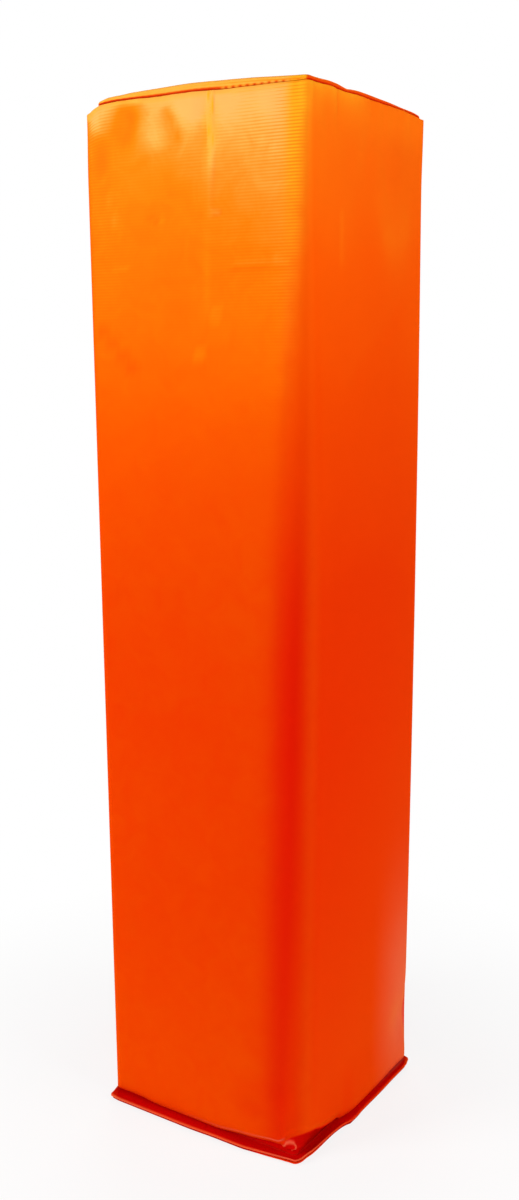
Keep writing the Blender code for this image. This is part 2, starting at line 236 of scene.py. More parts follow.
@dataclass(frozen=True)
class Upright:
    """The rounding of the four upright corners, much softer at the near one."""

    plain: float = 0.0050
    near: Pairs = (  # (height, radius) in millimetres
        (0, 14), (30, 15), (250, 15), (300, 13.5), (340, 11), (375, 8.5), (410, 6), (440, 4.5), (454, 3))
    near_reach: float = 0.016  # the near corner's rounding holds this far round the walls
    near_end: float = 0.046  # and is gone here
    least: float = 0.0012

    def radius(self, loop: np.ndarray, z: np.ndarray, less: float = 0.0) -> np.ndarray:
        """The radius at points of the walls.

        Args:
            loop: metres round the walls.
            z: height above the floor.
            less: how much smaller the radius is, for a piece inside the cover.

        Returns:
            The radii.
        """
        away = np.abs(np.mod(loop - NEAR_CORNER + LOOP / 2, LOOP) - LOOP / 2)
        height, size = np.array(self.near).T * MM
        near = np.interp(z, height, size)
        radius = self.plain + (near - self.plain) * fall(away, self.near_reach, self.near_end)
        return np.maximum(radius - less, self.least)


UPRIGHT = Upright()


@dataclass(frozen=True)
class Stance:
    """How the stuffed pylon stands."""

    twist: float = math.radians(2.6)
    twist_from: float = 0.040
    most_twist: float = 1.1  # points above the crown turn a little further
    flare: float = 0.0036  # the top is this much wider than the foot
    swell: float = 0.0009  # and the middle this much wider than a straight taper
    lean: float = -0.0040  # the top's shift along Y

    def settle(self, points: np.ndarray) -> np.ndarray:
        """Moves points of the straight form to where they stand.

        Args:
            points: the points' X, Y and Z.

        Returns:
            The moved points.
        """
        x, y, z = points.T
        up = z / HEIGHT
        wider = 1 + (self.flare * up + 4 * self.swell * up * (1 - up)) / (2 * WALL)
        turned = (z - self.twist_from) / (HEIGHT - self.twist_from)
        angle = self.twist * np.clip(turned, 0, self.most_twist)
        x, y = x * wider, y * wider
        return np.column_stack([
            np.cos(angle) * x - np.sin(angle) * y,
            np.sin(angle) * x + np.cos(angle) * y + self.lean * up * np.abs(up),
            z,
        ])


STANCE = Stance()


@dataclass(frozen=True)
class Dent:
    """A soft hollow or swelling in one wall."""

    side: Side
    across: float
    height: float
    wide: float
    tall: float
    rise: float
    tilt: float = 0.0

    def push(self, side: np.ndarray, across: np.ndarray, z: np.ndarray) -> np.ndarray:
        """How far the wall moves out at each point.

        Args:
            side: index of each point's wall.
            across: metres from the middle of the wall.
            z: height above the floor.

        Returns:
            The push outwards, in metres.
        """
        dx = across - self.across
        dz = z - self.height
        along = dx * math.cos(self.tilt) + dz * math.sin(self.tilt)
        over = dz * math.cos(self.tilt) - dx * math.sin(self.tilt)
        shape = hump(along, 0, self.wide) * hump(over, 0, self.tall)
        return np.where(side == self.side.value, self.rise * shape, 0)


@dataclass(frozen=True)
class Crease:
    """A fold line on one wall, a ridge or a furrow, that fades out at its ends."""

    side: Side
    start: tuple[float, float]  # (across the wall, height)
    end: tuple[float, float]
    width: float
    rise: float
    start_fade: float = 0.25  # shares of its length
    end_fade: float = 0.4

    def push(self, side: np.ndarray, across: np.ndarray, z: np.ndarray) -> np.ndarray:
        """How far the wall moves out at each point.

        Args:
            side: index of each point's wall.
            across: metres from the middle of the wall.
            z: height above the floor.

        Returns:
            The push outwards, in metres.
        """
        line = np.array(self.end) - np.array(self.start)
        length = float(np.hypot(*line))
        line = line / length
        dx = across - self.start[0]
        dz = z - self.start[1]
        along = (dx * line[0] + dz * line[1]) / length
        over = dz * line[0] - dx * line[1]
        fade = ease(along / self.start_fade + 1) * ease((1 - along) / self.end_fade + 0.5)
        return np.where(side == self.side.value, self.rise * hump(over, 0, self.width) * fade, 0)


@dataclass(frozen=True)
class Gathers:
    """One size of gather in the cloth below the top seam."""

    count: int
    rise: float
    drop: float
    width: float


@dataclass(frozen=True)
class SeamPuckers:
    """Gathers that hang from the top seam round all four walls."""

    seed: int = 11
    groups: tuple[Gathers, ...] = (
        Gathers(count=34, rise=0.0005, drop=0.016, width=0.0032),
        Gathers(count=132, rise=0.00022, drop=0.005, width=0.0011),
    )

    def push(self, loop: np.ndarray, below: np.ndarray) -> np.ndarray:
        """How far the wall moves out at each point.

        Args:
            loop: metres round the walls.
            below: how far the point is below the top seam.

        Returns:
            The push outwards, in metres.
        """
        rng = np.random.default_rng(self.seed)
        total = np.zeros_like(loop)
        for group in self.groups:
            count = group.count
            spots = (np.arange(count) + rng.uniform(-0.35, 0.35, count)) * LOOP / count
            rises = group.rise * rng.uniform(-1, 1, count)
            drops = group.drop * rng.uniform(0.5, 1.5, count)
            slants = rng.uniform(-0.25, 0.25, count)
            for spot, high, long, slant in zip(spots, rises, drops, slants):
                away = np.mod(loop - spot - slant * below + LOOP / 2, LOOP) - LOOP / 2
                spread = group.width * (1 + below / long)
                total += high * np.exp(-((away / spread) ** 2) - np.maximum(below, 0) / long)
        return total


@dataclass(frozen=True)
class CoverEdges:
    """What changes round the cover: its top seam, its foot and the flange under it."""

    tip_radius: float = 0.0004  # of the flange's corners, and more where it stands further out
    reach: float = 0.0011  # how far the flange's edge lies outside the walls before it slides
    drawn_in: float = 1.7  # the top draws in by this share of an ear's height
    rounded: float = 2.5  # and its corner is rounder by this share
    seam_rise: LoopProfile = LoopProfile(  # how far the top seam lies above its straight height
        front=((-52.1, -4.2), (-48, -3), (-45.5, -1.4), (-43.8, -0.2), (-42.5, 0.1), (-40, 0.3),
               (-35, 0.6), (-30, 0.6), (-22, 0.45), (-15, 0.35), (0, 0.45), (9, 0.25), (16, 0), (44, -0.2),
               (52.1, -0.3)),
        right=((-43, 0), (-35, 0.4), (-22, 0.3), (-19, 0.5), (-10, 1), (8, 1.3), (17, 1.5), (38, 1.6),
               (46, 1.2), (52.1, 0.2)),
        back=((-40, 0), (0, 0), (40, -0.3)),
        left=((-52.1, -1.2), (-40, -0.3), (30, -0.4), (44, -1.6), (48, -3.4)),
    )
    stand: LoopProfile = LoopProfile(  # how far the wall's edge stands up past the top, at an ear
        front=((-52.1, 1.4), (-48, 1.3), (-45.5, 0.6), (-43.8, 0)),
        right=((45, 0), (49, 0.4), (52.1, 1.2)),
        back=((-48, 0.8), (-43, 0)),
        left=((43, 0), (48, 1.3)),
    )
    rim: LoopProfile = LoopProfile(  # height of the top's rolled rim above the seam
        front=((-52.1, 0.4), (-42.5, 0.9), (-41.3, 1.2), (-39.8, 1.5), (-36, 1.5), (-28, 2), (-14, 2.6),
               (0, 2.8), (14, 2.8), (27, 2.5), (40, 1.8), (50, 1.3)),
        right=((-48, 1.1), (-30, 1.3), (-21, 0.7), (-17, 0.9), (-9, 1), (18, 0.7), (30, 0.4), (52.1, 0.4)),
        back=((-40, 1.25), (0, 2.1)),
        left=((-52.1, 1.25), (0, 2.1), (40, 1.2), (48, 0.4)),
    )
    top_corner: LoopProfile = LoopProfile(  # plan radius at the top seam
        front=((-52.1, 2), (-38, 4), (0, 4.4), (52.1, 2)),
        right=((0, 4), (52.1, 5.2)),
        left=((-52.1, 4.5), (38, 4.4)),
    )
    slide_x: LoopProfile = LoopProfile(  # how far the flange's edge has slid along X
        front=((-52.1, 2.3), (-43, 0), (35, 0), (52.1, -1.2)),
        right=((-49.2, -0.3), (-45.5, 0), (-40.6, 0.7), (-25.6, 1.2), (-17.6, 1.9), (-14.2, 2.7),
               (-11.5, 3.7), (-6.7, 3.7), (0.9, 3.2), (19.2, 2.9), (31.7, 2.4), (44.8, 2.1), (52.1, 0.6)),
        back=((-43, 0), (43, 0)),
        left=((-52.1, -2), (-40, -3.4), (20, -3.2), (42, -0.8)),
    )
    slide_y: LoopProfile = LoopProfile(  # and along Y
        front=((-52.1, -3.8), (-45, -4.4), (-6.2, -4.4), (10.4, -3.8), (24.6, -3.6), (31.5, -2.6),
               (38.7, -1.4), (45.9, -0.2), (52.1, 0.5)),
        right=((-40, 0), (43, 0), (52.1, -1)),
        back=((-43, 2.6), (0, 3.6), (43, 3)),
        left=((-52.1, 1.2), (-42, 0), (42, -1)),
    )
    proud: LoopProfile = LoopProfile(  # how far the base's edge stands out past the hem's
        front=((-52.1, -0.8), (25, -0.7), (40, -0.2), (52.1, 0.1)),
        right=((-40, 0), (-20, -0.6), (52.1, -0.6)),
        back=((0, 0.3),),
        left=((0, 0.3),),
    )
    lift: LoopProfile = LoopProfile(  # how far the wall's foot is lifted off the flange
        front=((-52.1, 0.2), (-39, 0), (-26, -1), (8, -1), (22, 0.5), (30, 1.2), (40, 2.6), (44.5, 3.2),
               (47.5, 6), (51, 8)),
        right=((-48, 8.4), (-40, 7.2), (-33, 4.8), (-24, 3), (-18, 2.2), (-15, -0.8), (0, -1.8),
               (25, -1.4), (52.1, -0.2)),
        back=((0, -0.6),),
        left=((-52.1, 0), (0, -0.6)),
    )
    bulge: LoopProfile = LoopProfile(  # how far the wall's foot swells out over the flange
        front=((-52.1, 0), (-20, 0.6), (20, 0.6), (40, 0.4), (45.5, 0.9), (51, 0.4)),
        right=((-40, 0), (-15, 0.6), (-5, 1.6), (20, 1.2), (52.1, 0.4)),
        back=((0, 1.2),),
        left=((-52.1, 0), (0, 1)),
    )
    ear: LoopProfile = LoopProfile(  # how far the wall stands out beside the top seam
        front=((-52.1, -1.1), (-44, 0), (42, 0)),
        right=((-52.1, 0.2), (-42, 0), (44, 0), (52.1, 0.4)),
        back=((-44, 0), (44, 0)),
        left=((-52.1, 0.4), (-44, 0), (44, 0)),
    )

    def flange(self, loop: np.ndarray, seam: np.ndarray, share_out: np.ndarray,
               proud: float = 0.0) -> np.ndarray:
        """Places points of the flange between the base seam and the flange's edge, in plan.

        Args:
            loop: metres round the walls.
            seam: the points' X and Y if they lay on the seam.
            share_out: 0 at the seam and 1 at the edge.
            proud: how many times the edge stands out past that of the hem.

        Returns:
            The points' X and Y.
        """
        out = self.reach + self.proud.at(loop) * proud
        edge = on_ring(*wall_of(loop), WALL + out, self.tip_radius + np.maximum(out, 0))
        edge += np.stack([self.slide_x.at(loop), self.slide_y.at(loop)], 1)
        return seam + (edge - seam) * share_out[:, None]


EDGES = CoverEdges()


def make_object(name: str, mesh: bpy.types.Mesh) -> bpy.types.Object:
    """Puts a mesh in the scene as an object at the origin.

    Args:
        name: of the object.
        mesh: what it shows.

    Returns:
        The object.
    """
    obj = bpy.data.objects.new(name, mesh)
    bpy.context.scene.collection.objects.link(obj)
    return obj


def move_points(mesh: bpy.types.Mesh, points: np.ndarray) -> None:
    """Moves a mesh's points."""
    mesh.vertices.foreach_set("co", points.astype(np.float32).ravel())
    mesh.update()


def points_of(mesh: bpy.types.Mesh) -> np.ndarray:
    """Reads a mesh's points.

    Args:
        mesh: the mesh.

    Returns:
        One row of X, Y and Z for each point.
    """
    flat = np.empty(len(mesh.vertices) * 3, np.float32)
    mesh.vertices.foreach_get("co", flat)
    return flat.reshape(-1, 3).astype(float)


def lay_uv(mesh: bpy.types.Mesh, flat: np.ndarray) -> None:
    """Gives a mesh a UV map in metres on the flat cut.

    Args:
        mesh: the mesh of the sheet.
        flat: each point's place on the flat cut.
    """
    layer = mesh.uv_layers.new(name="cut")
    corner = np.empty(len(mesh.loops), np.int32)
    mesh.loops.foreach_get("vertex_index", corner)
    layer.data.foreach_set("uv", flat[corner].astype(np.float32).ravel())


def lay_values(mesh: bpy.types.Mesh, name: str, values: np.ndarray) -> None:
    """Stores a value at each point of a mesh for its material to read."""
    layer = mesh.attributes.new(name, "FLOAT", "POINT")
    layer.data.foreach_set("value", values.astype(np.float32))


def lay_looks(mesh: bpy.types.Mesh, painted_shade: np.ndarray, light_and_ribs: "PaintedLightAndRibs") -> None:
    """Stores what the vinyl's material reads at each point: how much shade is painted, and the painted
    light, sheen and ribs.
    """
    for name, values in (("painted_shade", painted_shade), *vars(light_and_ribs).items()):
        lay_values(mesh, name, values)


@dataclass
class PaintedLightAndRibs:
    """How much light is painted on the vinyl, how golden it is, how much sheen is painted on it, and how
    far its ribs show.
    """

    painted_light: np.ndarray
    golden: np.ndarray
    painted_sheen: np.ndarray
    ribbed: np.ndarray


@dataclass
class Places:
    """Points of the cover, told by where they lie on its walls."""

    where: np.ndarray  # round the walls, from 0 at the front left corner
    across: np.ndarray  # from the middle of the wall
    z: np.ndarray
    below: np.ndarray  # below the top seam
    front: np.ndarray  # whether it is on the front wall
    right: np.ndarray  # or on the right one

    @classmethod
    def of(cls, loop: np.ndarray, z: np.ndarray, seam: np.ndarray) -> "Places":
        """Works them out from the distance round the walls, the height and the top seam's height."""
        side, share = wall_of(loop)
        return cls(np.mod(loop, LOOP), share * WALL, z, np.maximum(seam - z, 0),
                   side == Side.FRONT.value, side == Side.RIGHT.value)


@dataclass(frozen=True)
class Patch:
    """A spot of painted light or painted shade high on the front wall, golden to a share of its strength.
    """

    across: float
    height: float
    wide: float
    tall: float
    paler: float
    golder: float = 0.0

    def share(self, at: Places) -> np.ndarray:
        """How strongly the spot shows at each point."""
        return at.front * hump(at.across, self.across, self.wide) * hump(at.z, self.height, self.tall)


@dataclass(frozen=True)
class PaintedLighting:
    """Light, highlights, shade and sheen painted on the cover's colour, and how far its ribs show."""

    full: float = 0.4535  # the painted light falls off below this height
    light_table: Triples = (  # painted light round the walls: (walls passed, strength, reach in mm)
        (0, 0.32, 30), (0.10, 0.40, 30), (0.25, 0.46, 24), (0.33, 0.70, 20), (0.40, 1.1, 16),
        (0.46, 1.7, 15), (0.8, 1.5, 25), (0.9, 1.5, 30), (0.970, 1.2, 30), (1.030, 0.10, 20),
        (1.25, 0.03, 18), (1.5, 0.03, 18), (2.0, 0.03, 18), (2.3, 0.2, 18), (3.7, 0.2, 18), (4.0, 0.28, 25),
    )
    front_light: float = 0.07  # painted light over the whole front wall
    high_front_light: float = 0.09  # and this much more high up
    front_light_past: float = 0.0016  # the front's painted light ends this far past the near corner
    front_light_fades: tuple[float, float] = (0.0060, 0.0190)  # over this width at the top and low down
    rim_strength: float = 0.7  # of the painted highlight along the left part of the top seam
    corner_strength: float = 0.8  # of the painted highlight under the top's left corner
    right_strength: float = 0.62  # of the painted highlight at the top of the right wall
    edge_strength: float = 0.05  # of the painted light past the near corner, low down
    sheen_paint: float = 0.30  # of the painted sheen on the foot of the right wall's far end
    bare_ribs: float = 0.06  # how far the ribs show everywhere
    ribs: Pairs = (  # (share across the front wall, how far its ribs show)
        (-1, 0.8), (-0.8, 0.7), (-0.45, 0.25), (-0.1, 0.36), (0.4, 0.6), (0.7, 0.9), (0.93, 1.8))
    ribs_drop: float = 0.150  # they are gone this far down
    patches: tuple[Patch, ...] = (
        Patch(-0.0420, 0.4465, 0.0055, 0.0040, 0.45),
        Patch(-0.0150, 0.4370, 0.0045, 0.0050, 0.35),
        Patch(-0.0260, 0.4480, 0.0060, 0.0045, -0.30),
        Patch(-0.0440, 0.4330, 0.0040, 0.0080, -0.15),
        Patch(0.0380, 0.4400, 0.0080, 0.0060, -0.20),
        Patch(0.0100, 0.4385, 0.0030, 0.0110, 0.10, 0.7),
        Patch(0.0092, 0.4520, 0.0006, 0.0030, 0.60, 1.0),
        Patch(0.0112, 0.4475, 0.0006, 0.0050, 0.80, 1.0),
        Patch(0.0102, 0.4455, 0.0006, 0.0060, -0.50, 1.0),
        Patch(0.0092, 0.4385, 0.0007, 0.0040, 0.50, 1.0),
        Patch(0.0112, 0.4350, 0.0008, 0.0040, 0.40, 1.0),
    )

    def front_light_share(self, at: Places) -> np.ndarray:
        """How fully a point lies under the front wall's painted light."""
        high, low = self.front_light_fades
        fade = high + (low - high) * fall(at.z, 0.30, 0.41)
        return ease((NEAR_CORNER + self.front_light_past - at.where) / fade) * rise(at.where, 0, 0.0030)

    def seam_line(self, at: Places) -> np.ndarray:
        """The thin strip just below the top seam."""
        return fall(at.below, 0.0009, 0.0021)

    def painted_light(self, at: Places) -> np.ndarray:
        """How much light is painted on each point, before the patches.

        Args:
            at: the points.

        Returns:
            The shares.
        """
        walls, strength, reach = np.array(self.light_table).T
        most = np.interp(at.where, walls * 2 * WALL, strength)
        depth = np.interp(at.where, walls * 2 * WALL, reach) * MM
        total = most * np.exp(-np.maximum(self.full - at.z, 0) / depth)
        total += (self.front_light + self.high_front_light * rise(at.z, 0.300, 0.380)) * self.front_light_share(at)
        total += at.front * self.rim_strength * self.seam_line(at) * fall(at.across, -0.030, -0.010)
        total += (at.front * self.corner_strength
                  * hump(at.across, -0.0430, 0.0060) * hump(at.below, 0.0020, 0.0030))
        strip = at.right * rise(at.across, -WALL, -0.95 * WALL) * fall(at.across, -0.020, 0.0)
        total += self.right_strength * strip * np.exp(-at.below / 0.0045)
        past_edge = hump(at.where, NEAR_CORNER + 0.0061, 0.0045)
        return total + self.edge_strength * past_edge * fall(at.z, 0.22, 0.35)

    def ribbed(self, at: Places) -> np.ndarray:
        """How far the ribs of the scrim show at each point."""
        strong = np.interp(at.where / WALL - 1, *zip(*self.ribs))
        return self.bare_ribs + self.front_light_share(at) * strong * fall(self.full - at.z, 0, self.ribs_drop)

    def at(self, loop: np.ndarray, z: np.ndarray, seam: np.ndarray) -> PaintedLightAndRibs:
        """The painted light, its tint, the painted sheen and the ribs at points of the cover.

        Args:
            loop: metres round the walls.
            z: height above the floor.
            seam: height of the top seam above each point's place.

        Returns:
            The painted light and ribs.
        """
        at = Places.of(loop, z, seam)
        painted_light = self.painted_light(at)
        gold = rise(at.across, 0.78 * WALL, 0.90 * WALL)
        for patch in self.patches:
            share = patch.share(at)
            painted_light += patch.paler * share
            gold = np.maximum(gold, patch.golder * share)
        golden = np.where(at.front, np.maximum(gold, 0.5 * self.seam_line(at)), 1.0)
        painted_sheen = self.sheen_paint * at.right * rise(at.across, 0.010, 0.048) * hump(at.z, 0.040, 0.050)
        return PaintedLightAndRibs(np.maximum(painted_light, 0), golden, painted_sheen, self.ribbed(at))


PAINTED_LIGHTING = PaintedLighting()


def soften(obj: bpy.types.Object, angle: float = math.radians(50)) -> None:
    """Shades a piece smooth but for its sharp edges."""
    obj.data.shade_smooth()
    obj.data.set_sharp_from_angle(angle=angle)


def thicken(obj: bpy.types.Object, thickness: float) -> None:
    """Gives a sheet its thickness, half to each side, with crisp cut edges.

    Args:
        obj: the sheet.
        thickness: in metres.
    """
    solidify = obj.modifiers.new("sheet_thickness", "SOLIDIFY")
    solidify.thickness = thickness
    solidify.offset = 0
    solidify.use_even_offset = False
    flat = obj.data
    shown = obj.evaluated_get(bpy.context.evaluated_depsgraph_get())
    obj.data = bpy.data.meshes.new_from_object(shown)
    obj.modifiers.clear()
    obj.data.name = flat.name
    bpy.data.meshes.remove(flat)
    soften(obj)


def to_mesh(bm: bmesh.types.BMesh, name: str) -> bpy.types.Mesh:
    """Writes a mesh that is being made to a new mesh, and lets it go.

    Args:
        bm: the mesh that is being made.
        name: of the new mesh.

    Returns:
        The new mesh.
    """
    mesh = bpy.data.meshes.new(name)
    bm.to_mesh(mesh)
    bm.free()
    return mesh


def index_grid(bm: bmesh.types.BMesh, columns: int, rows: int) -> tuple[list, np.ndarray]:
    """Adds a flat grid whose points lie at whole numbers.

    Args:
        bm: the mesh to add to.
        columns: how many faces wide.
        rows: how many faces high.

    Returns:
        The new points, and their places in the grid.
    """
    made = bmesh.ops.create_grid(bm, x_segments=columns, y_segments=rows, size=1)["verts"]
    bmesh.ops.translate(bm, vec=(1, 1, 0), verts=made)
    bmesh.ops.scale(bm, vec=(columns / 2, rows / 2, 1), verts=made)
    return made, np.array([v.co[:2] for v in made]).round()


def place_verts(verts: list, points: np.ndarray) -> None:
    """Moves points of a mesh that is being made."""
    for vert, point in zip(verts, points):
        vert.co = point


def welded(bm: bmesh.types.BMesh, name: str, reach: float = 4e-6) -> bpy.types.Mesh:
    """Joins points that meet, turns the faces outwards and writes the mesh.

    Args:
        bm: the mesh that is being made.
        name: of the new mesh.
        reach: how far apart two points may be and still be joined.

    Returns:
        The new mesh.
    """
    bmesh.ops.remove_doubles(bm, verts=bm.verts, dist=reach)
    bmesh.ops.recalc_face_normals(bm, faces=bm.faces)
    return to_mesh(bm, name)


def hand_over(obj: bpy.types.Object, node: str) -> None:
    """Puts a finished piece on the pylon's body in place of its CAD node.

    Args:
        obj: the piece.
        node: the CAD node that it stands for.
    """
    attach(obj, BODY)
    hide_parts(node)
    log.info("%s stands for %s: %d points", obj.name, node, len(obj.data.vertices))


@dataclass(frozen=True)
class WallRelief:
    """The swellings, dents and creases of the four walls."""

    belly: float = 0.0008
    puckers: SeamPuckers = SeamPuckers()
    marks: tuple[Dent | Crease, ...] = (
        Crease(Side.FRONT, (0.0112, 0.4545), (0.0108, 0.4390), 0.0009, 0.00042, 0.1, 0.3),
        Crease(Side.FRONT, (0.0092, 0.4520), (0.0090, 0.4400), 0.0008, 0.00030, 0.1, 0.5),
        Crease(Side.FRONT, (0.0108, 0.4370), (0.0090, 0.4330), 0.0009, 0.00020, 0.3, 0.5),
        Dent(Side.FRONT, 0.0100, 0.4260, 0.0022, 0.0090, 0.00030, -0.1),
        Dent(Side.FRONT, -0.0455, 0.4440, 0.0035, 0.0060, 0.0005),
        Dent(Side.FRONT, -0.0320, 0.4440, 0.0060, 0.0080, -0.0009, 0.1),
        Dent(Side.FRONT, -0.0200, 0.4450, 0.0050, 0.0080, 0.0006, -0.1),
        Crease(Side.FRONT, (-0.0110, 0.4480), (-0.0040, 0.4360), 0.0030, -0.0004, 0.2, 0.4),
        Dent(Side.FRONT, 0.0015, 0.4480, 0.0045, 0.0060, 0.0006),
        Dent(Side.FRONT, 0.0075, 0.4380, 0.0024, 0.0080, -0.0003),
        Dent(Side.FRONT, 0.0180, 0.4470, 0.0050, 0.0060, 0.0004),
        Dent(Side.FRONT, 0.0360, 0.4450, 0.0060, 0.0080, 0.0004),
        Dent(Side.FRONT, -0.0430, 0.4300, 0.0050, 0.0140, -0.0004),
        Crease(Side.FRONT, (-0.0185, 0.4075), (-0.0150, 0.4045), 0.0014, -0.0003),
        Crease(Side.FRONT, (-0.0150, 0.4045), (-0.0115, 0.4070), 0.0014, 0.0003),
        Crease(Side.FRONT, (-0.0420, 0.4215), (-0.0350, 0.3990), 0.0010, 0.0003),
        Crease(Side.FRONT, (-0.0370, 0.3880), (-0.0315, 0.3875), 0.0009, 0.0004),
        Crease(Side.FRONT, (0.0105, 0.4075), (0.0145, 0.4073), 0.0012, 0.0004),
        Crease(Side.FRONT, (0.0105, 0.4310), (0.0080, 0.3735), 0.0012, 0.0002),
        Crease(Side.FRONT, (0.0215, 0.3846), (0.0380, 0.3846), 0.0010, -0.0003),
        Crease(Side.FRONT, (0.0220, 0.3866), (0.0370, 0.3868), 0.0010, 0.0003),
        Crease(Side.FRONT, (0.0400, 0.3880), (0.0460, 0.3868), 0.0013, 0.0005),
        Crease(Side.FRONT, (0.0100, 0.3665), (0.0145, 0.3675), 0.0011, 0.0004),
        Crease(Side.FRONT, (0.0025, 0.3508), (0.0070, 0.3508), 0.0011, 0.0004),
        Crease(Side.FRONT, (-0.0446, 0.3607), (-0.0275, 0.3439), 0.0022, -0.0004),
        Crease(Side.RIGHT, (-0.0137, 0.3452), (0.0262, 0.3706), 0.0026, -0.0006),
        Crease(Side.RIGHT, (-0.0260, 0.4061), (-0.0257, 0.3868), 0.0012, 0.0003),
        Crease(Side.RIGHT, (-0.0296, 0.4525), (-0.0294, 0.4385), 0.0013, -0.0004, 0.2, 0.5),
        Dent(Side.RIGHT, 0.0140, 0.4440, 0.0030, 0.0100, 0.0003),
        Dent(Side.RIGHT, -0.0380, 0.4400, 0.0035, 0.0120, -0.0004),
        Dent(Side.RIGHT, -0.0070, 0.4280, 0.0060, 0.0110, -0.0006, -0.4),
        Dent(Side.RIGHT, 0.0080, 0.4180, 0.0050, 0.0200, 0.0004, 0.3),
        Dent(Side.RIGHT, -0.0180, 0.4200, 0.0070, 0.0250, -0.0004, 0.3),
        Dent(Side.RIGHT, 0.0240, 0.4150, 0.0120, 0.0220, 0.0005),
        Dent(Side.FRONT, 0.0330, 0.0250, 0.0130, 0.0070, -0.0006, 0.3),
        Dent(Side.RIGHT, 0.0480, 0.0290, 0.0120, 0.0110, -0.0014),
        Dent(Side.BACK, -0.0200, 0.4300, 0.0090, 0.0180, -0.0007),
        Dent(Side.BACK, 0.0180, 0.3000, 0.0200, 0.0500, 0.0006),
        Crease(Side.BACK, (-0.0300, 0.1900), (0.0100, 0.2300), 0.0030, -0.0005),
        Dent(Side.LEFT, 0.0100, 0.4350, 0.0100, 0.0150, -0.0007),
        Crease(Side.LEFT, (-0.0250, 0.2700), (0.0150, 0.2450), 0.0028, -0.0005),
        Dent(Side.LEFT, 0.0, 0.1200, 0.0250, 0.0500, 0.0006),
    )

    def push(self, loop: np.ndarray, z: np.ndarray, seam: np.ndarray) -> np.ndarray:
        """How far the wall moves out at each point.

        Args:
            loop: metres round the walls.
            z: height above the floor.
            seam: height of the top seam above each point's place.

        Returns:
            The push outwards, in metres.
        """
        share = wall_of(loop)[1]
        height = z / HEIGHT
        total = self.belly * (1 - share**2) * np.sin(math.pi * np.clip(height, 0, 1)) ** 0.6
        total += self.marked(loop, z)
        total *= ease((1 - np.abs(share)) / 0.06 + 0.35)
        return total + self.puckers.push(loop, seam - z)

    def marked(self, loop: np.ndarray, z: np.ndarray) -> np.ndarray:
        """How far the dents and creases alone move the wall out at each point."""
        side, share = wall_of(loop)
        return sum(mark.push(side, share * WALL, z) for mark in self.marks)


class Band(IntEnum):
    """The parts of the wall sheet, up its cut from the hem edge."""

    FLANGE = 0
    FOLD = 1
    HEEL = 2
    FACE = 3
    BEND = 4
    TURNED = 5
    END = 6


@dataclass(frozen=True)
class FinePatch:
    """A part of the wall sheet's cut that gets more rows, or more rows and columns."""

    low: float
    high: float
    start: float  # round the walls
    end: float
    cuts: int
    both_ways: bool = True

    def holds(self, loop: np.ndarray, up: np.ndarray) -> np.ndarray:
        """Whether points of the cut lie in it."""
        return (self.low <= up) & (up <= self.high) & (self.start <= loop) & (loop <= self.end)


@dataclass
class CutGrid:
    """Where the rows and columns of the wall sheet's grid lie on its cut."""

    rows: np.ndarray
    loops: np.ndarray  # of the columns, round the walls
    flaps: np.ndarray  # and into a flap

    def at(self, spots: np.ndarray) -> tuple[np.ndarray, np.ndarray, np.ndarray]:
        """Where points of the grid lie.

        Args:
            spots: the points' columns and rows, not all of them whole.

        Returns:
            Their distances round the walls, into a flap and up the cut.
        """
        columns = np.arange(len(self.loops))
        x, y = spots[:, 0], spots[:, 1]
        return (np.interp(x, columns, self.loops), np.interp(x, columns, self.flaps),
                np.interp(y, np.arange(len(self.rows)), self.rows))


@dataclass(frozen=True)
class PaintedShade:
    """Painted shade on the wall: in the hem's folds, beside the near edge, high on the right and at two
    corners; also a darker spot low on the front.
    """

    band: float = 0.5  # of the painted shade in a band beside the near edge
    band_at: float = -0.0075  # its middle past the near corner, at the floor
    band_slant: float = 0.0215  # and how much further past it is for each metre up
    band_widths: tuple[float, float] = (0.0100, 0.0045)  # before its middle and past it
    # (past the near corner, painted shade) high on the right wall
    right: Pairs = ((0, 0), (0.030, 0.05), (0.075, 0.13), (0.1020, 0.13), (0.1048, 0))
    blotch: float = 0.30  # of the spot low on the front, near the corner
    corner_shade: float = 0.35  # of the painted shade along the front left and rear right corners
    corner_shade_width: float = 0.0017
    fold: float = 0.8  # painted shade in the folds of the hem
    deepest: float = 0.2  # and how much more painted shade in the near corner's tuck

    def on_face(self, loop: np.ndarray, up: np.ndarray, z: np.ndarray) -> np.ndarray:
        """How much shade is painted on the wall's face.

        Args:
            loop: distance round the walls.
            up: distance up the cut from the hem edge.
            z: height above the floor.

        Returns:
            Values from 0 to 1.
        """
        past = loop - NEAR_CORNER
        beside = past - self.band_at - self.band_slant * z
        band = self.band * hump(beside, 0, np.where(beside < 0, *self.band_widths))
        total = band * fall(up, 0.22, 0.35) * (0.85 + 0.15 * rise(z, 0, 0.120))
        upper = rise(z, 0.160, 0.260) * fall(z, 0.435, 0.450)
        total += upper * np.interp(past, *zip(*self.right))
        blotch = self.blotch * hump(past, -0.0150, 0.0150) * hump(z, 0.0200, 0.0060)
        total = np.maximum(total, blotch * (past < 0.010))
        for edge in (-0.0010, REAR_RIGHT_CORNER - 0.0010):
            total = np.maximum(total, self.corner_shade * hump(loop, edge, self.corner_shade_width))
        return total


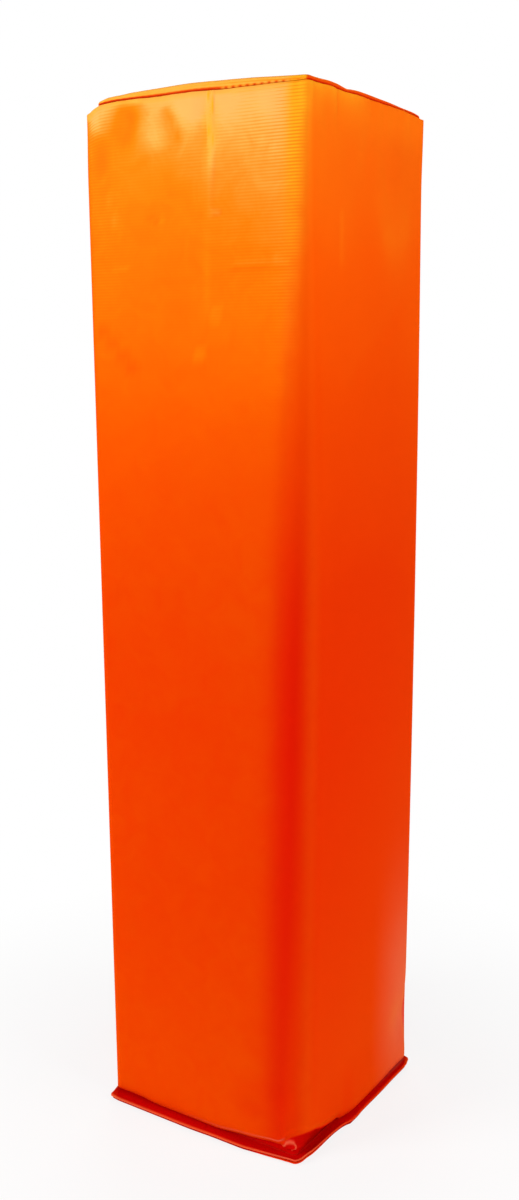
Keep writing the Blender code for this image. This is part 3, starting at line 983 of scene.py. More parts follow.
@dataclass
class WallSheet:
    """The cover's four walls: one sheet, with its hem turned out and its other edges turned in."""

    hem: float = 0.0022
    seam_inset: float = 0.0030
    heel_height: float = 0.0034
    top_seam: float = 0.4530
    top_bend: float = 0.00015
    top_allowance: float = 0.0080
    side_allowance: float = 0.0080
    side_bend: float = 0.0008
    seam_radius: float = 0.0020
    nominal_reach: float = 0.0032
    relief: WallRelief = WallRelief()
    painted_shade: PaintedShade = PaintedShade()
    flap_stop: float = 0.0006  # the flaps of the closing seam end this far below the wall's top
    corner_start: float = 0.8  # share across a wall at which its end turns to the closing seam
    curl_line: Pairs = (  # of the painted highlight on the heel's loose end: (past the near corner, up the cut)
        (-0.0055, 0.0094), (-0.0041, 0.0101), (-0.0023, 0.0100), (-0.0005, 0.0097), (0.0005, 0.0090),
        (0.0002, 0.0080), (-0.0012, 0.0072),
    )
    curl_width: float = 0.00028
    edge_sheen: Pairs = ((0, 0.26), (1.4, 0.16), (1.9, 0.22), (2.2, 0.12), (3.0, 0))  # (half walls, painted sheen on the hem's edge)

    @property
    def fold_centre(self) -> float:
        """Offset from the wall of the fold where the hem turns out."""
        return FOLD - self.seam_inset

    @property
    def heel(self) -> float:
        """Height at which the wall starts its curl."""
        return self.hem + 2 * FOLD

    @property
    def wall_top(self) -> float:
        """Height at which the wall turns in."""
        return self.top_seam - self.top_bend

    def bands(self) -> np.ndarray:
        """Distances up the flat cut at which its parts start, and its end.

        Returns:
            One distance for each Band.
        """
        lengths = (
            self.nominal_reach - self.fold_centre,
            math.pi * FOLD,
            1.1 * self.heel_height,
            self.wall_top - self.heel - self.heel_height,
            math.pi / 2 * self.top_bend,
            self.top_allowance - self.top_bend,
        )
        return np.cumsum((0.0, *lengths))

    @property
    def floor_up(self) -> float:
        """Distance up the cut of the floor, if the wall's face ran straight down to it."""
        return self.bands()[Band.FACE] - self.heel - self.heel_height

    def row_table(self) -> np.ndarray:
        """The rows of points, closest where the sheet is worked most.

        Returns:
            Their distances up the flat cut.
        """
        ends = self.bands()
        face = ends[Band.FACE]
        stretches = (  # (start, end, points), each without its start
            (ends[Band.FOLD], ends[Band.HEEL], 7),
            (ends[Band.HEEL], face, 9),
            (face, face + 0.045, 26),
            (face + 0.045, face + 0.370, 64),
            (face + 0.370, face + 0.430, 31),
            (face + 0.430, ends[Band.BEND], 14),
            (ends[Band.BEND], ends[Band.TURNED], 6),
            (ends[Band.TURNED], ends[Band.END], 5),
        )
        first = [0.0, 0.0004, *np.linspace(0.0010, ends[Band.FOLD], 5)]
        return np.concatenate([first, *(np.linspace(*stretch)[1:] for stretch in stretches)])

    def column_tables(self) -> tuple[np.ndarray, np.ndarray]:
        """Distance round the walls and into a flap, of each column of points.

        Returns:
            The distances round the walls, and those into the flaps: negative in the left wall's
            flap, positive in the rear wall's, and zero between.
        """
        bend = np.array([0.90, 0.925, 0.948, 0.968, 0.985, 1.0])
        shares = np.concatenate([-bend[::-1], np.linspace(-0.87, 0.87, 35), bend])
        main = np.concatenate([[-2 * WALL], *(loop_at(side - 1, shares[1:]) for side in range(4))])
        main[0] += SEAT / 2
        main[-1] -= SEAT / 2
        turn = self.side_bend * math.pi / 2
        left = np.concatenate([np.linspace(self.side_allowance + turn, turn, 4),
                               np.linspace(turn, 0, 5)[1:-1]])
        turn = FOLD * math.pi
        rear = np.concatenate([np.linspace(0, turn, 7)[1:],
                               np.linspace(turn, turn + self.side_allowance, 4)[1:]])
        loop = np.concatenate([np.full(len(left), main[0]), main, np.full(len(rear), main[-1])])
        return loop, np.concatenate([-left, np.zeros(len(main)), rear])

    def fine_patches(self) -> tuple[FinePatch, ...]:
        """Where the cover is gathered, pinched or creased.

        Returns:
            The parts of its cut that are made finer, in order.
        """
        floor = self.floor_up
        top = self.bands()[Band.TURNED] + 0.001
        return (
            FinePatch(floor + 0.4040, top, WALL + 0.0080, WALL + 0.0200, 3),
            FinePatch(floor + 0.4440, top, -LOOP, LOOP, 2, both_ways=False),
            FinePatch(0.0, floor + 0.0160, NEAR_CORNER - 0.020, NEAR_CORNER + 0.040, 1),
            FinePatch(0.0006, floor + 0.0140, NEAR_CORNER - 0.012, NEAR_CORNER + 0.006, 1),
            FinePatch(0.0062, 0.0108, NEAR_CORNER - 0.0065, NEAR_CORNER + 0.0016, 1),
        )

    def cut_sheet(self) -> tuple[bpy.types.Mesh, np.ndarray, np.ndarray, np.ndarray]:
        """Makes the flat sheet, finer in places and without its flaps at the hem and the top.

        Returns:
            The mesh, and for each point its distance round the walls, into a flap and up the cut.
        """
        grid = CutGrid(self.row_table(), *self.column_tables())
        bm = bmesh.new()
        index_grid(bm, len(grid.loops) - 1, len(grid.rows) - 1)
        ends = self.bands()
        faces = list(bm.faces)
        loop, flap, up = grid.at(np.array([face.calc_center_median()[:2] for face in faces]))
        kept = (flap == 0) | (up > ends[Band.FACE]) & (up < ends[Band.BEND] - self.flap_stop)
        notched = [face for face, keep in zip(faces, kept) if not keep]
        bmesh.ops.delete(bm, geom=notched, context="FACES")
        for patch in self.fine_patches():
            edges = list(bm.edges)
            tips = np.array([[vert.co[:2] for vert in edge.verts] for edge in edges])
            loop, flap, up = grid.at(tips.mean(axis=1))
            level = np.abs(tips[:, 0, 1] - tips[:, 1, 1]) < 0.01
            chosen = (flap == 0) & patch.holds(loop, up) & (level | patch.both_ways)
            bmesh.ops.subdivide_edges(
                bm, edges=[edge for edge, wanted in zip(edges, chosen) if wanted],
                cuts=patch.cuts, use_grid_fill=True)
        mesh = to_mesh(bm, "wall_sheet")
        return mesh, *grid.at(points_of(mesh))

    def shape(self, loop: np.ndarray, flap: np.ndarray, up: np.ndarray) -> np.ndarray:
        """Where each point of the flat cut ends up on the straight form.

        Args:
            loop: distance round the walls.
            flap: distance into a flap of the closing seam.
            up: distance up the cut from the hem edge.

        Returns:
            The points.
        """
        ends = self.bands()
        band = np.clip(np.searchsorted(ends, up, side="right") - 1, Band.FLANGE, Band.TURNED)
        t = (up - ends[band]) / (ends[band + 1] - ends[band])
        turn = math.pi / 2 * t
        fold_turn = math.pi * (1.5 - t)
        lift, bulge = EDGES.lift.at(loop), EDGES.bulge.at(loop)
        seam, stand = EDGES.seam_rise.at(loop), EDGES.stand.at(loop)
        tuck = self.tuck(loop)
        firm = (1 - 0.75 * tuck) * lift
        heel_top = self.heel + self.heel_height
        wall_z = heel_top + (self.wall_top - heel_top) * t
        low = fall(wall_z, heel_top, heel_top + 0.025)
        high = rise(wall_z, self.wall_top - 0.030, self.wall_top)
        bare = np.zeros_like(up)
        relief = self.relief.push(loop, wall_z, bare + self.top_seam)
        ear = EDGES.ear.at(loop)
        at_top = ear + self.relief.push(loop, bare + self.wall_top, bare + self.top_seam)
        boxy = 1 - 0.7 * hump(np.abs(np.mod(loop + 2 * WALL, 4 * WALL) - 2 * WALL), 0, 0.012)
        ripple = 0.00015 * tuck * np.sin(16 * t)
        centre = self.fold_centre
        pulled = t * (self.top_allowance - self.top_bend)

        offset = np.choose(band, [
            bare + centre,
            centre + FOLD * np.cos(fold_turn),
            centre + (bulge - centre) * np.sin(turn) ** boxy + ripple * np.sin(turn),
            bulge * low + relief + ear * high,
            at_top - self.top_bend * (1 - np.cos(turn)),
            at_top * (1 - t) - self.top_bend - pulled,
        ])
        z = np.choose(band, [
            self.hem + 0.0004 * (1 - t) ** 3,
            self.hem + FOLD + FOLD * np.sin(fold_turn) + firm * (1 + np.sin(fold_turn)) / 2,
            self.heel + firm + (self.heel_height + lift - firm) * (1 - np.cos(turn)),
            wall_z + lift * low + (seam + stand) * high,
            self.wall_top + self.top_bend * np.sin(turn) + seam + stand,
            self.top_seam + seam + stand * (1 - t) ** 2,
        ])
        top_radius = EDGES.top_corner.at(loop)
        standing = UPRIGHT.radius(loop, wall_z)
        radius = np.choose(band, [
            bare + self.seam_radius,
            bare + self.seam_radius,
            self.seam_radius + (UPRIGHT.radius(loop, bare) - self.seam_radius) * np.sin(turn),
            standing + (top_radius - standing) * high,
            top_radius - self.top_bend * (1 - np.cos(turn)),
            np.maximum(top_radius - self.top_bend - 0.6 * t * self.top_allowance, 0.0010),
        ])
        closed = np.choose(band, [
            bare + 1,
            bare + 1,
            fall(t, 0.2, 0.5),
            rise(wall_z, self.wall_top - 0.0006, self.wall_top),
            bare + 1,
            bare + 1,
        ])
        points = self.wrap_round(loop, flap, WALL + offset, z, radius, closed)
        in_flange = (band == Band.FLANGE)[:, None]
        points[:, :2] = np.where(in_flange, EDGES.flange(loop, points[:, :2], 1 - t), points[:, :2])
        return points

    def curled(self, loop: np.ndarray, up: np.ndarray) -> np.ndarray:
        """How near each point is to the thin painted highlight where the heel's loose end curls over.

        Args:
            loop: distance round the walls.
            up: distance up the cut from the hem edge.

        Returns:
            1 on the line, and 0 away from it.
        """
        near = np.full(len(loop), 1.0)
        spots = np.array(self.curl_line)
        for start, end in zip(spots[:-1], spots[1:]):
            run = end - start
            x, y = loop - NEAR_CORNER - start[0], up - start[1]
            along = np.clip((x * run[0] + y * run[1]) / (run @ run), 0, 1)
            near = np.minimum(near, np.hypot(x - along * run[0], y - along * run[1]))
        return hump(near, 0, self.curl_width)

    def tuck(self, loop: np.ndarray) -> np.ndarray:
        """Where the near corner's foot is tucked in softly: 1 inside the tuck, 0 away from it."""
        past = loop - NEAR_CORNER
        return rise(past, -0.0076, -0.0046) * fall(past, 0.0345, 0.0370)

    def painted_shade_at(self, loop: np.ndarray, up: np.ndarray, z: np.ndarray) -> np.ndarray:
        """How much shade is painted at each point: most in the folds of the hem.

        Args:
            loop: distance round the walls.
            up: distance up the cut from the hem edge.
            z: height above the floor.

        Returns:
            Values from 0 to 1.
        """
        ends = self.bands()
        painted_shade, tuck = self.painted_shade, self.tuck(loop)
        heel, heel_end = ends[Band.HEEL], ends[Band.HEEL] + 0.8 * (ends[Band.FACE] - ends[Band.HEEL])
        curl = fall(up, heel, heel_end)
        in_tuck = fall(z - EDGES.lift.at(loop), 0.0025, 0.0041)
        above_fold = up > ends[Band.FOLD]
        curl = np.where(above_fold, curl + (in_tuck - curl) * tuck, curl)
        deepest = painted_shade.deepest * rise(loop - NEAR_CORNER, -0.002, 0.014) * tuck * above_fold
        in_folds = (painted_shade.fold + deepest) * rise(up, 0.0002, 0.0008) * curl
        return np.maximum(painted_shade.on_face(loop, up, z), in_folds)

    def wrap_round(self, loop: np.ndarray, flap: np.ndarray, half: np.ndarray, z: np.ndarray,
                   radius: np.ndarray, closed: np.ndarray) -> np.ndarray:
        """Bends the sheet round the corners and turns its two ends in at the rear left one.

        Args:
            loop: distance round the walls.
            flap: distance into a flap.
            half: half width at each point.
            z: height of each point.
            radius: radius of the corner.
            closed: 1 where the two ends meet in the corner's rounding, 0 where they turn in.

        Returns:
            The points.
        """
        side, share = wall_of(loop)
        left_end = loop < -WALL
        rear_end = loop > 5 * WALL
        side = np.where(left_end, Side.LEFT.value, np.where(rear_end, Side.BACK.value, side))
        plan = on_ring(side, share, half, radius)
        drop = LAYER + 2 * FOLD + self.side_bend
        start = self.corner_start
        past = np.clip((np.abs(share) - start) / (1 - start), 0, 1)
        near = start * (half - radius + radius * EIGHTH_TURN)
        stop = np.where(left_end, half - drop, half - FOLD)
        across = np.sign(share) * (near + (stop - near) * past)
        open_plan = NORMALS[side] * half[:, None] + ALONGS[side] * across[:, None]
        ends = (left_end & (share < -start)) | (rear_end & (share > start))
        weight = np.where(ends, 1 - closed, 0)[:, None]
        plan = plan * (1 - weight) + open_plan * weight

        turn = np.clip(-flap / self.side_bend, 0, math.pi / 2)
        rest = np.maximum(-flap - self.side_bend * math.pi / 2, 0)
        left_x = -half + self.side_bend * (1 - np.cos(turn)) + rest
        left_y = half - drop + self.side_bend * np.sin(turn)
        plan = np.where((flap < 0)[:, None], np.stack([left_x, left_y], 1), plan)
        turn = np.clip(flap / FOLD, 0, math.pi)
        rest = np.maximum(flap - FOLD * math.pi, 0)
        rear_x = -half + FOLD * (1 - np.sin(turn)) + rest
        rear_y = half - FOLD * (1 - np.cos(turn))
        plan = np.where((flap > 0)[:, None], np.stack([rear_x, rear_y], 1), plan)
        return np.column_stack([plan, z])

    def light_and_ribs(self, loop: np.ndarray, up: np.ndarray, z: np.ndarray) -> PaintedLightAndRibs:
        """The sheet's painted light: the lighting's, and painted highlights on its ridges and edges, with
        painted shade in its hollows.

        Args:
            loop: distance round the walls.
            up: distance up the cut from the hem edge.
            z: height above the floor.

        Returns:
            The painted light and ribs.
        """
        light_and_ribs = PAINTED_LIGHTING.at(loop, z, EDGES.seam_rise.at(loop) + self.top_seam)
        ridge = self.relief.marked(loop, z)
        high = rise(z, 0.400, 0.430)
        # Painted highlights on the ridges and painted shade in the hollows of the dents and creases, weaker
        # lower down.
        light_and_ribs.painted_light *= 1 + 0.6 * high * np.clip(ridge / 0.0005, -1.0, 1.0)
        seen = (loop > 0) & (loop < REAR_RIGHT_CORNER)
        below = seen * (1 - high) * rise(z, 0, 0.10)
        light_and_ribs.painted_light += 0.12 * below * np.clip(ridge / 0.0003, -0.7, 1.0)
        light_and_ribs.painted_light = np.maximum(light_and_ribs.painted_light, 0)
        # Painted sheen along the hem's edge, then painted highlights along the heel's rim and its curled
        # end.
        places, sheen_paint = zip(*self.edge_sheen)
        on_edge = np.interp(loop / WALL, places, sheen_paint) * fall(up, 0, 0.0007)
        light_and_ribs.painted_sheen = np.where(up < 0.0030, on_edge, light_and_ribs.painted_sheen)
        ends = self.bands()
        heel_end = ends[Band.HEEL] + 0.8 * (ends[Band.FACE] - ends[Band.HEEL])
        rim = hump(up, heel_end, 0.00025) * rise(loop, 0.030, 0.070)
        rim *= fall(loop - NEAR_CORNER, -0.007, -0.004)
        edge_highlight = np.maximum(0.25 * rim, 0.20 * self.curled(loop, up))
        light_and_ribs.painted_sheen = np.maximum(light_and_ribs.painted_sheen, edge_highlight)
        return light_and_ribs

    def build(self, finish: "RibbedVinyl") -> bpy.types.Object:
        """Makes the sheet, wraps it and dresses it.

        Args:
            finish: of the vinyl.

        Returns:
            The sheet.
        """
        mesh, loop, flap, up = self.cut_sheet()
        points = self.shape(loop, flap, up)
        move_points(mesh, STANCE.settle(points))
        lay_uv(mesh, np.stack([loop + flap, up], 1))
        z = points[:, 2]
        # No painted shade under the curled end's painted highlight.
        painted_shade = self.painted_shade_at(loop, up, z) * (1 - 0.8 * self.curled(loop, up))
        lay_looks(mesh, painted_shade, self.light_and_ribs(loop, up, z))
        mesh.materials.append(finish.material())
        obj = make_object("wall_sheet", mesh)
        thicken(obj, VINYL)
        hand_over(obj, "side_wrap")
        return obj


@dataclass
class SquareSheet:
    """A square sheet worked from its middle to its edge in rings, such as the cover's top."""

    name: str
    rings: int

    def ring_grid(self) -> tuple[bpy.types.Mesh, np.ndarray, np.ndarray]:
        """Makes the flat sheet.

        Returns:
            The mesh, and for each point its ring and its distance round the walls.
        """
        bm = bmesh.new()
        bmesh.ops.create_grid(bm, x_segments=2 * self.rings, y_segments=2 * self.rings, size=self.rings)
        mesh = to_mesh(bm, self.name)
        ring, side, share = ring_of(*np.round(points_of(mesh)[:, :2]).T)
        return mesh, ring, loop_at(side, share)

    def finish_sheet(self, mesh: bpy.types.Mesh, points: np.ndarray, run: np.ndarray,
                     loop: np.ndarray, thickness: float) -> bpy.types.Object:
        """Moves the sheet into place and gives it its UV map and thickness.

        Args:
            mesh: the flat sheet.
            points: where its points go.
            run: each point's distance out from the middle of the cut.
            loop: its distance round the walls.
            thickness: of the sheet.

        Returns:
            The object.
        """
        move_points(mesh, STANCE.settle(points))
        side, share = wall_of(loop)
        lay_uv(mesh, NORMALS[side] * run[:, None] + ALONGS[side] * (share * run)[:, None])
        obj = make_object(self.name, mesh)
        thicken(obj, thickness)
        return obj


@dataclass
class TopParts:
    """How far out each point lies in each part of the top sheet, from 0 to 1."""

    crown: np.ndarray
    shoulder: np.ndarray
    face: np.ndarray
    bend: np.ndarray
    under: np.ndarray


@dataclass
class TopSheet(SquareSheet):
    """The square top: a low crown whose rim turns down and in under itself."""

    name: str = "top_sheet"
    rings: int = 84
    part_rings: tuple[int, ...] = (63, 5, 7, 4, 5)  # of the crown, shoulder, face, bend and turned edge
    seat: float = 0.45375  # the turned edge, on the walls' turned edge
    middle: float = 0.0026  # height of the sheet's middle above its seat, before the crown
    allowance: float = 0.0080
    under_bend: float = 0.00015
    shoulder: float = 0.0007
    crown: float = 0.0010
    stitch: float = 0.00315
    bead: float = 0.00020  # how far each stitch draws the rim in
    inset: float = 0.0002
    least_radius: float = 0.0012
    middle_light_and_ribs: tuple[float, float, float, float] = (0.35, 0.6, 0.0, 0.15)  # painted light, its golden tint, painted sheen and ribs, away from the rim

    def parts(self, ring: np.ndarray) -> TopParts:
        """Splits the sheet's rings into its parts."""
        starts = np.cumsum((0, *self.part_rings))
        return TopParts(*(np.clip((ring - start) / count, 0, 1)
                          for start, count in zip(starts, self.part_rings)))

    def shape(self, loop: np.ndarray, parts: TopParts) -> tuple[np.ndarray, np.ndarray]:
        """Where each point ends up on the straight form.

        Args:
            loop: distance round the walls.
            parts: how far out the points lie.

        Returns:
            The points, and their distances out from the middle of the cut.
        """
        tall = EDGES.rim.at(loop)
        under = self.seat + EDGES.seam_rise.at(loop)
        stand = EDGES.stand.at(loop)
        shoulder = np.minimum(self.shoulder, 0.5 * (tall - self.under_bend))
        over, tuck = math.pi / 2 * parts.shoulder, math.pi / 2 * parts.bend
        bead = self.bead * (1 - np.abs(np.sin(math.pi * loop / self.stitch)))
        edge = WALL + 0.5 * EDGES.ear.at(loop) - self.inset - bead * parts.face - EDGES.drawn_in * stand
        turned = parts.under * (self.allowance - self.under_bend)
        half = (edge - shoulder) * parts.crown + shoulder * np.sin(over)
        half -= self.under_bend * (1 - np.cos(tuck)) + turned
        middle = self.seat + self.middle
        z = middle + (under + tall - middle) * rise(parts.crown, 0.4, 1.0)
        z += self.crown * (1 - parts.crown**3)
        z -= shoulder * (1 - np.cos(over)) + (tall - shoulder - self.under_bend) * parts.face
        z -= self.under_bend * np.sin(tuck)
        radius = np.minimum(0.9 * EDGES.top_corner.at(loop) + EDGES.rounded * stand, 0.9 * half)
        radius = np.maximum(radius - (WALL - half) * 0.4, np.minimum(self.least_radius, half))
        run = half + shoulder * 0.57 * parts.shoulder + 1.57 * self.under_bend * parts.bend
        run += 2 * turned + (tall - shoulder) * parts.face
        return np.column_stack([on_ring(*wall_of(loop), half, radius), z]), run

    def looks(self, loop: np.ndarray, parts: TopParts) -> tuple[np.ndarray, PaintedLightAndRibs]:
        """The sheet's painted light and shade: as the walls' tops at its rim, and even in its middle.

        Args:
            loop: distance round the walls.
            parts: how far out the points lie.

        Returns:
            How much shade is painted, and the painted light, sheen and ribs.
        """
        side, share = wall_of(loop)
        across = share * WALL
        front = side == Side.FRONT.value
        # Painted shade on the right wall's rim, and on the top seam's line, which the front's stitches
        # break.
        right = (side == Side.RIGHT.value) * parts.shoulder
        stitched = 0.5 + 0.5 * np.cos(2 * math.pi * loop / self.stitch)
        broken = front * rise(across, 0.0120, 0.0180)
        line = rise(parts.face, 0.55, 1.0) * (1 - broken * (1 - stitched**2))
        line *= 1 - front * rise(across, 0.0420, 0.0450)
        seam = np.full(len(loop), WallSheet().top_seam)
        light_and_ribs = PAINTED_LIGHTING.at(loop, seam, seam)
        # More painted light on the front's rim, none on the right's, and less on the seam's line.
        light_and_ribs.painted_light = np.minimum(light_and_ribs.painted_light + 0.5 * front, 1.0) * (1 - right) * (1 - 0.5 * line)
        rimward = rise(parts.crown, 0.80, 1.0)
        levels = zip(self.middle_light_and_ribs, vars(light_and_ribs).values())
        light_and_ribs = PaintedLightAndRibs(*(level + (values - level) * rimward for level, values in levels))
        return np.maximum(0.42 * right, 0.7 * line), light_and_ribs

    def build(self, finish: "RibbedVinyl") -> bpy.types.Object:
        """Makes the sheet and dresses it.

        Args:
            finish: of the vinyl.

        Returns:
            The sheet.
        """
        mesh, ring, loop = self.ring_grid()
        parts = self.parts(ring)
        points, run = self.shape(loop, parts)
        lay_looks(mesh, *self.looks(loop, parts))
        mesh.materials.append(finish.material())
        obj = self.finish_sheet(mesh, points, run, loop, VINYL)
        hand_over(obj, "top_panel")
        return obj


@dataclass
class BaseSheet(SquareSheet):
    """The square base, flat on the floor, with its edge raised and out under the hem."""

    name: str = "base_sheet"
    rings: int = 56
    slope_rings: int = 10
    flange_rings: int = 8
    flange: float = 0.0013
    seam_inset: float = 0.0030
    slope: float = 0.0090
    reach: float = 0.0038  # of the cut, out past the walls
    corner: float = 0.0020

    def build(self, finish: "RibbedVinyl") -> bpy.types.Object:
        """Makes the sheet and dresses it.

        Args:
            finish: of the vinyl.

        Returns:
            The sheet.
        """
        mesh, ring, loop = self.ring_grid()
        seam = WALL - self.seam_inset
        foot = seam - self.slope
        inner = self.rings - self.flange_rings - self.slope_rings
        t_foot = np.clip(ring / inner, 0, 1)
        t_slope = np.clip((ring - inner) / self.slope_rings, 0, 1)
        outer = ring - inner - self.slope_rings
        t_edge = np.interp(outer, (0, self.flange_rings - 1, self.flange_rings), (0, 0.96, 1))
        half = foot * t_foot + (seam - foot) * t_slope
        z = VINYL / 2 + (self.flange - VINYL / 2) * t_slope
        radius = np.minimum(self.corner, 0.5 * half)
        plan = EDGES.flange(loop, on_ring(*wall_of(loop), half, radius), t_edge, 1.0)
        run = half + (self.reach + self.seam_inset) * t_edge
        # Painted shade under the hem and on the base's cut edge, but not at the near corner.
        away = 1 - np.exp(-(((loop - NEAR_CORNER) / 0.018) ** 4))
        painted_shade = 0.8 - 0.75 * rise(t_edge, 0.5, 0.7) + 0.9 * (t_edge > 0.99) * away
        nothing = np.zeros(len(loop))
        lay_looks(mesh, painted_shade, PaintedLightAndRibs(nothing, nothing, nothing, nothing))
        mesh.materials.append(finish.material())
        obj = self.finish_sheet(mesh, np.column_stack([plan, z]), run, loop, VINYL)
        hand_over(obj, "base_panel")
        return obj


class Run(Enum):
    """Which way a row of stitches runs."""

    ROUND = "round the walls"
    UPRIGHT = "up the closing seam"


@dataclass
class Stitches:
    """One thread of a lockstitch seam, dipping towards the sheets at each hole."""

    name: str
    node: str
    run: Run
    half: float  # half width of the ring of stitches, or where an upright row stands in Y
    z: float
    dip: float  # towards the sheets: down for a needle thread, up for a bobbin thread
    follows_top: bool = False
    pitch: float = 0.00315
    steps: int = 8
    sides: int = 6
    thick: float = 0.85 * THREAD  # drawn thinner by its pull
    flat: float = 0.0471  # half the straight run between the corners of a ring
    least_radius: float = 0.0012
    foot: float = 0.0090  # of an upright row
    head: float = 0.4502
    upright_x: float = -0.0493

    @property
    def count(self) -> int:
        """How many stitches the row has."""
        length = LOOP if self.run is Run.ROUND else self.head - self.foot
        return round(length / self.pitch)

    def path(self, share: np.ndarray) -> np.ndarray:
        """The thread's middle line.

        Args:
            share: places along it, from 0 to 1.

        Returns:
            The points there, on the straight form.
        """
        dip = self.dip * np.abs(np.cos(math.pi * share * self.count)) ** 12
        if self.run is Run.UPRIGHT:
            z = self.foot + (self.head - self.foot) * share
            seam = np.full_like(share, WallSheet().top_seam)
            push = WallRelief().push(np.full_like(share, REAR_LEFT_CORNER), z, seam)
            return np.column_stack([self.upright_x - push, self.half + push + dip, z])
        loop = share * LOOP
        side, across = wall_of(loop)
        across = np.where(share == 1, -1.0, across)
        side = np.where(share == 1, Side.FRONT.value, side)
        half = np.full_like(share, self.half)
        z = np.full_like(share, self.z)
        radius = np.full_like(share, max(self.half - self.flat, self.least_radius))
        if self.follows_top:
            stand = EDGES.stand.at(loop)
            z += EDGES.seam_rise.at(loop)
            half -= EDGES.drawn_in * stand
            radius += EDGES.rounded * stand
        elif self.z > WallSheet().heel:
            radius += UPRIGHT.radius(loop, z) - UPRIGHT.plain
        return np.column_stack([on_ring(side, across, half, radius), z + dip])

    def build(self, finish: "Finish") -> bpy.types.Object:
        """Makes the thread and dresses it.

        Args:
            finish: of the thread.

        Returns:
            The thread.
        """
        rounds = self.run is Run.ROUND
        length = self.count * self.steps
        bm = bmesh.new()
        verts, spots = index_grid(bm, length, self.sides)
        share = spots[:, 0] / length
        around = spots[:, 1] / self.sides * 2 * math.pi
        near = 0.2 / length
        ahead, behind = share + near, share - near
        if rounds:
            ahead, behind = np.mod(ahead, 1), np.mod(behind, 1)
        along = STANCE.settle(self.path(ahead)) - STANCE.settle(self.path(behind))
        along /= np.linalg.norm(along, axis=1)[:, None]
        out = np.cross(along, (0.0, 0.0, 1.0) if rounds else (0.0, 1.0, 0.0))
        out /= np.linalg.norm(out, axis=1)[:, None]
        over = np.cross(out, along)
        skin = np.cos(around)[:, None] * out + np.sin(around)[:, None] * over
        place_verts(verts, STANCE.settle(self.path(share)) + self.thick / 2 * skin)
        if not rounds:
            bmesh.ops.remove_doubles(bm, verts=bm.verts, dist=2e-6)
            ends = [edge for edge in bm.edges if edge.is_boundary]
            bmesh.ops.holes_fill(bm, edges=ends, sides=self.sides)
        mesh = welded(bm, self.name)
        mesh.materials.append(finish.material())
        obj = make_object(self.name, mesh)
        soften(obj)
        hand_over(obj, self.node)
        return obj


Place = tuple[float, float, float]


def threads_of(name: str, run: Run, needle: Place, bobbin: Place,
               follows_top: bool = False) -> tuple[Stitches, ...]:
    """The two threads of a seam.

    Args:
        name: of the seam.
        run: which way it runs.
        needle: half width of the needle thread's ring, its height and its dip.
        bobbin: the same of the bobbin thread.
        follows_top: whether the seam rises and falls with the cover's top.

    Returns:
        The threads.
    """
    threads = (("needle", needle), ("bobbin", bobbin))
    return tuple(Stitches(f"{name}_seam_{thread}_stitches", f"{name}_seam_{thread}_thread", run,
                          *place, follows_top) for thread, place in threads)

SEAMS = (
    *threads_of("top", Run.ROUND, (0.0499, 0.45440, -0.00012), (0.0499, 0.45215, 0.00012), True),
    *threads_of("base", Run.ROUND, (0.0499, 0.00295, -0.00012), (0.0506, 0.00048, 0.00012)),
    *threads_of("back", Run.UPRIGHT, (0.0513, 0, -0.00008), (0.0488, 0, 0.00012)),
    *threads_of("ballast", Run.ROUND, (0.0488, 0.02520, -0.00012), (0.0488, 0.02280, 0.00012)),
)


def clear_of_flaps(plan: np.ndarray) -> np.ndarray:
    """Keeps points in plan clear of the closing seam's turned flaps, at the rear left."""
    plan[:, 1] = np.minimum(plan[:, 1], 0.0600 - 0.0120 * rise(-plan[:, 0], 0.0340, 0.0380))
    return plan


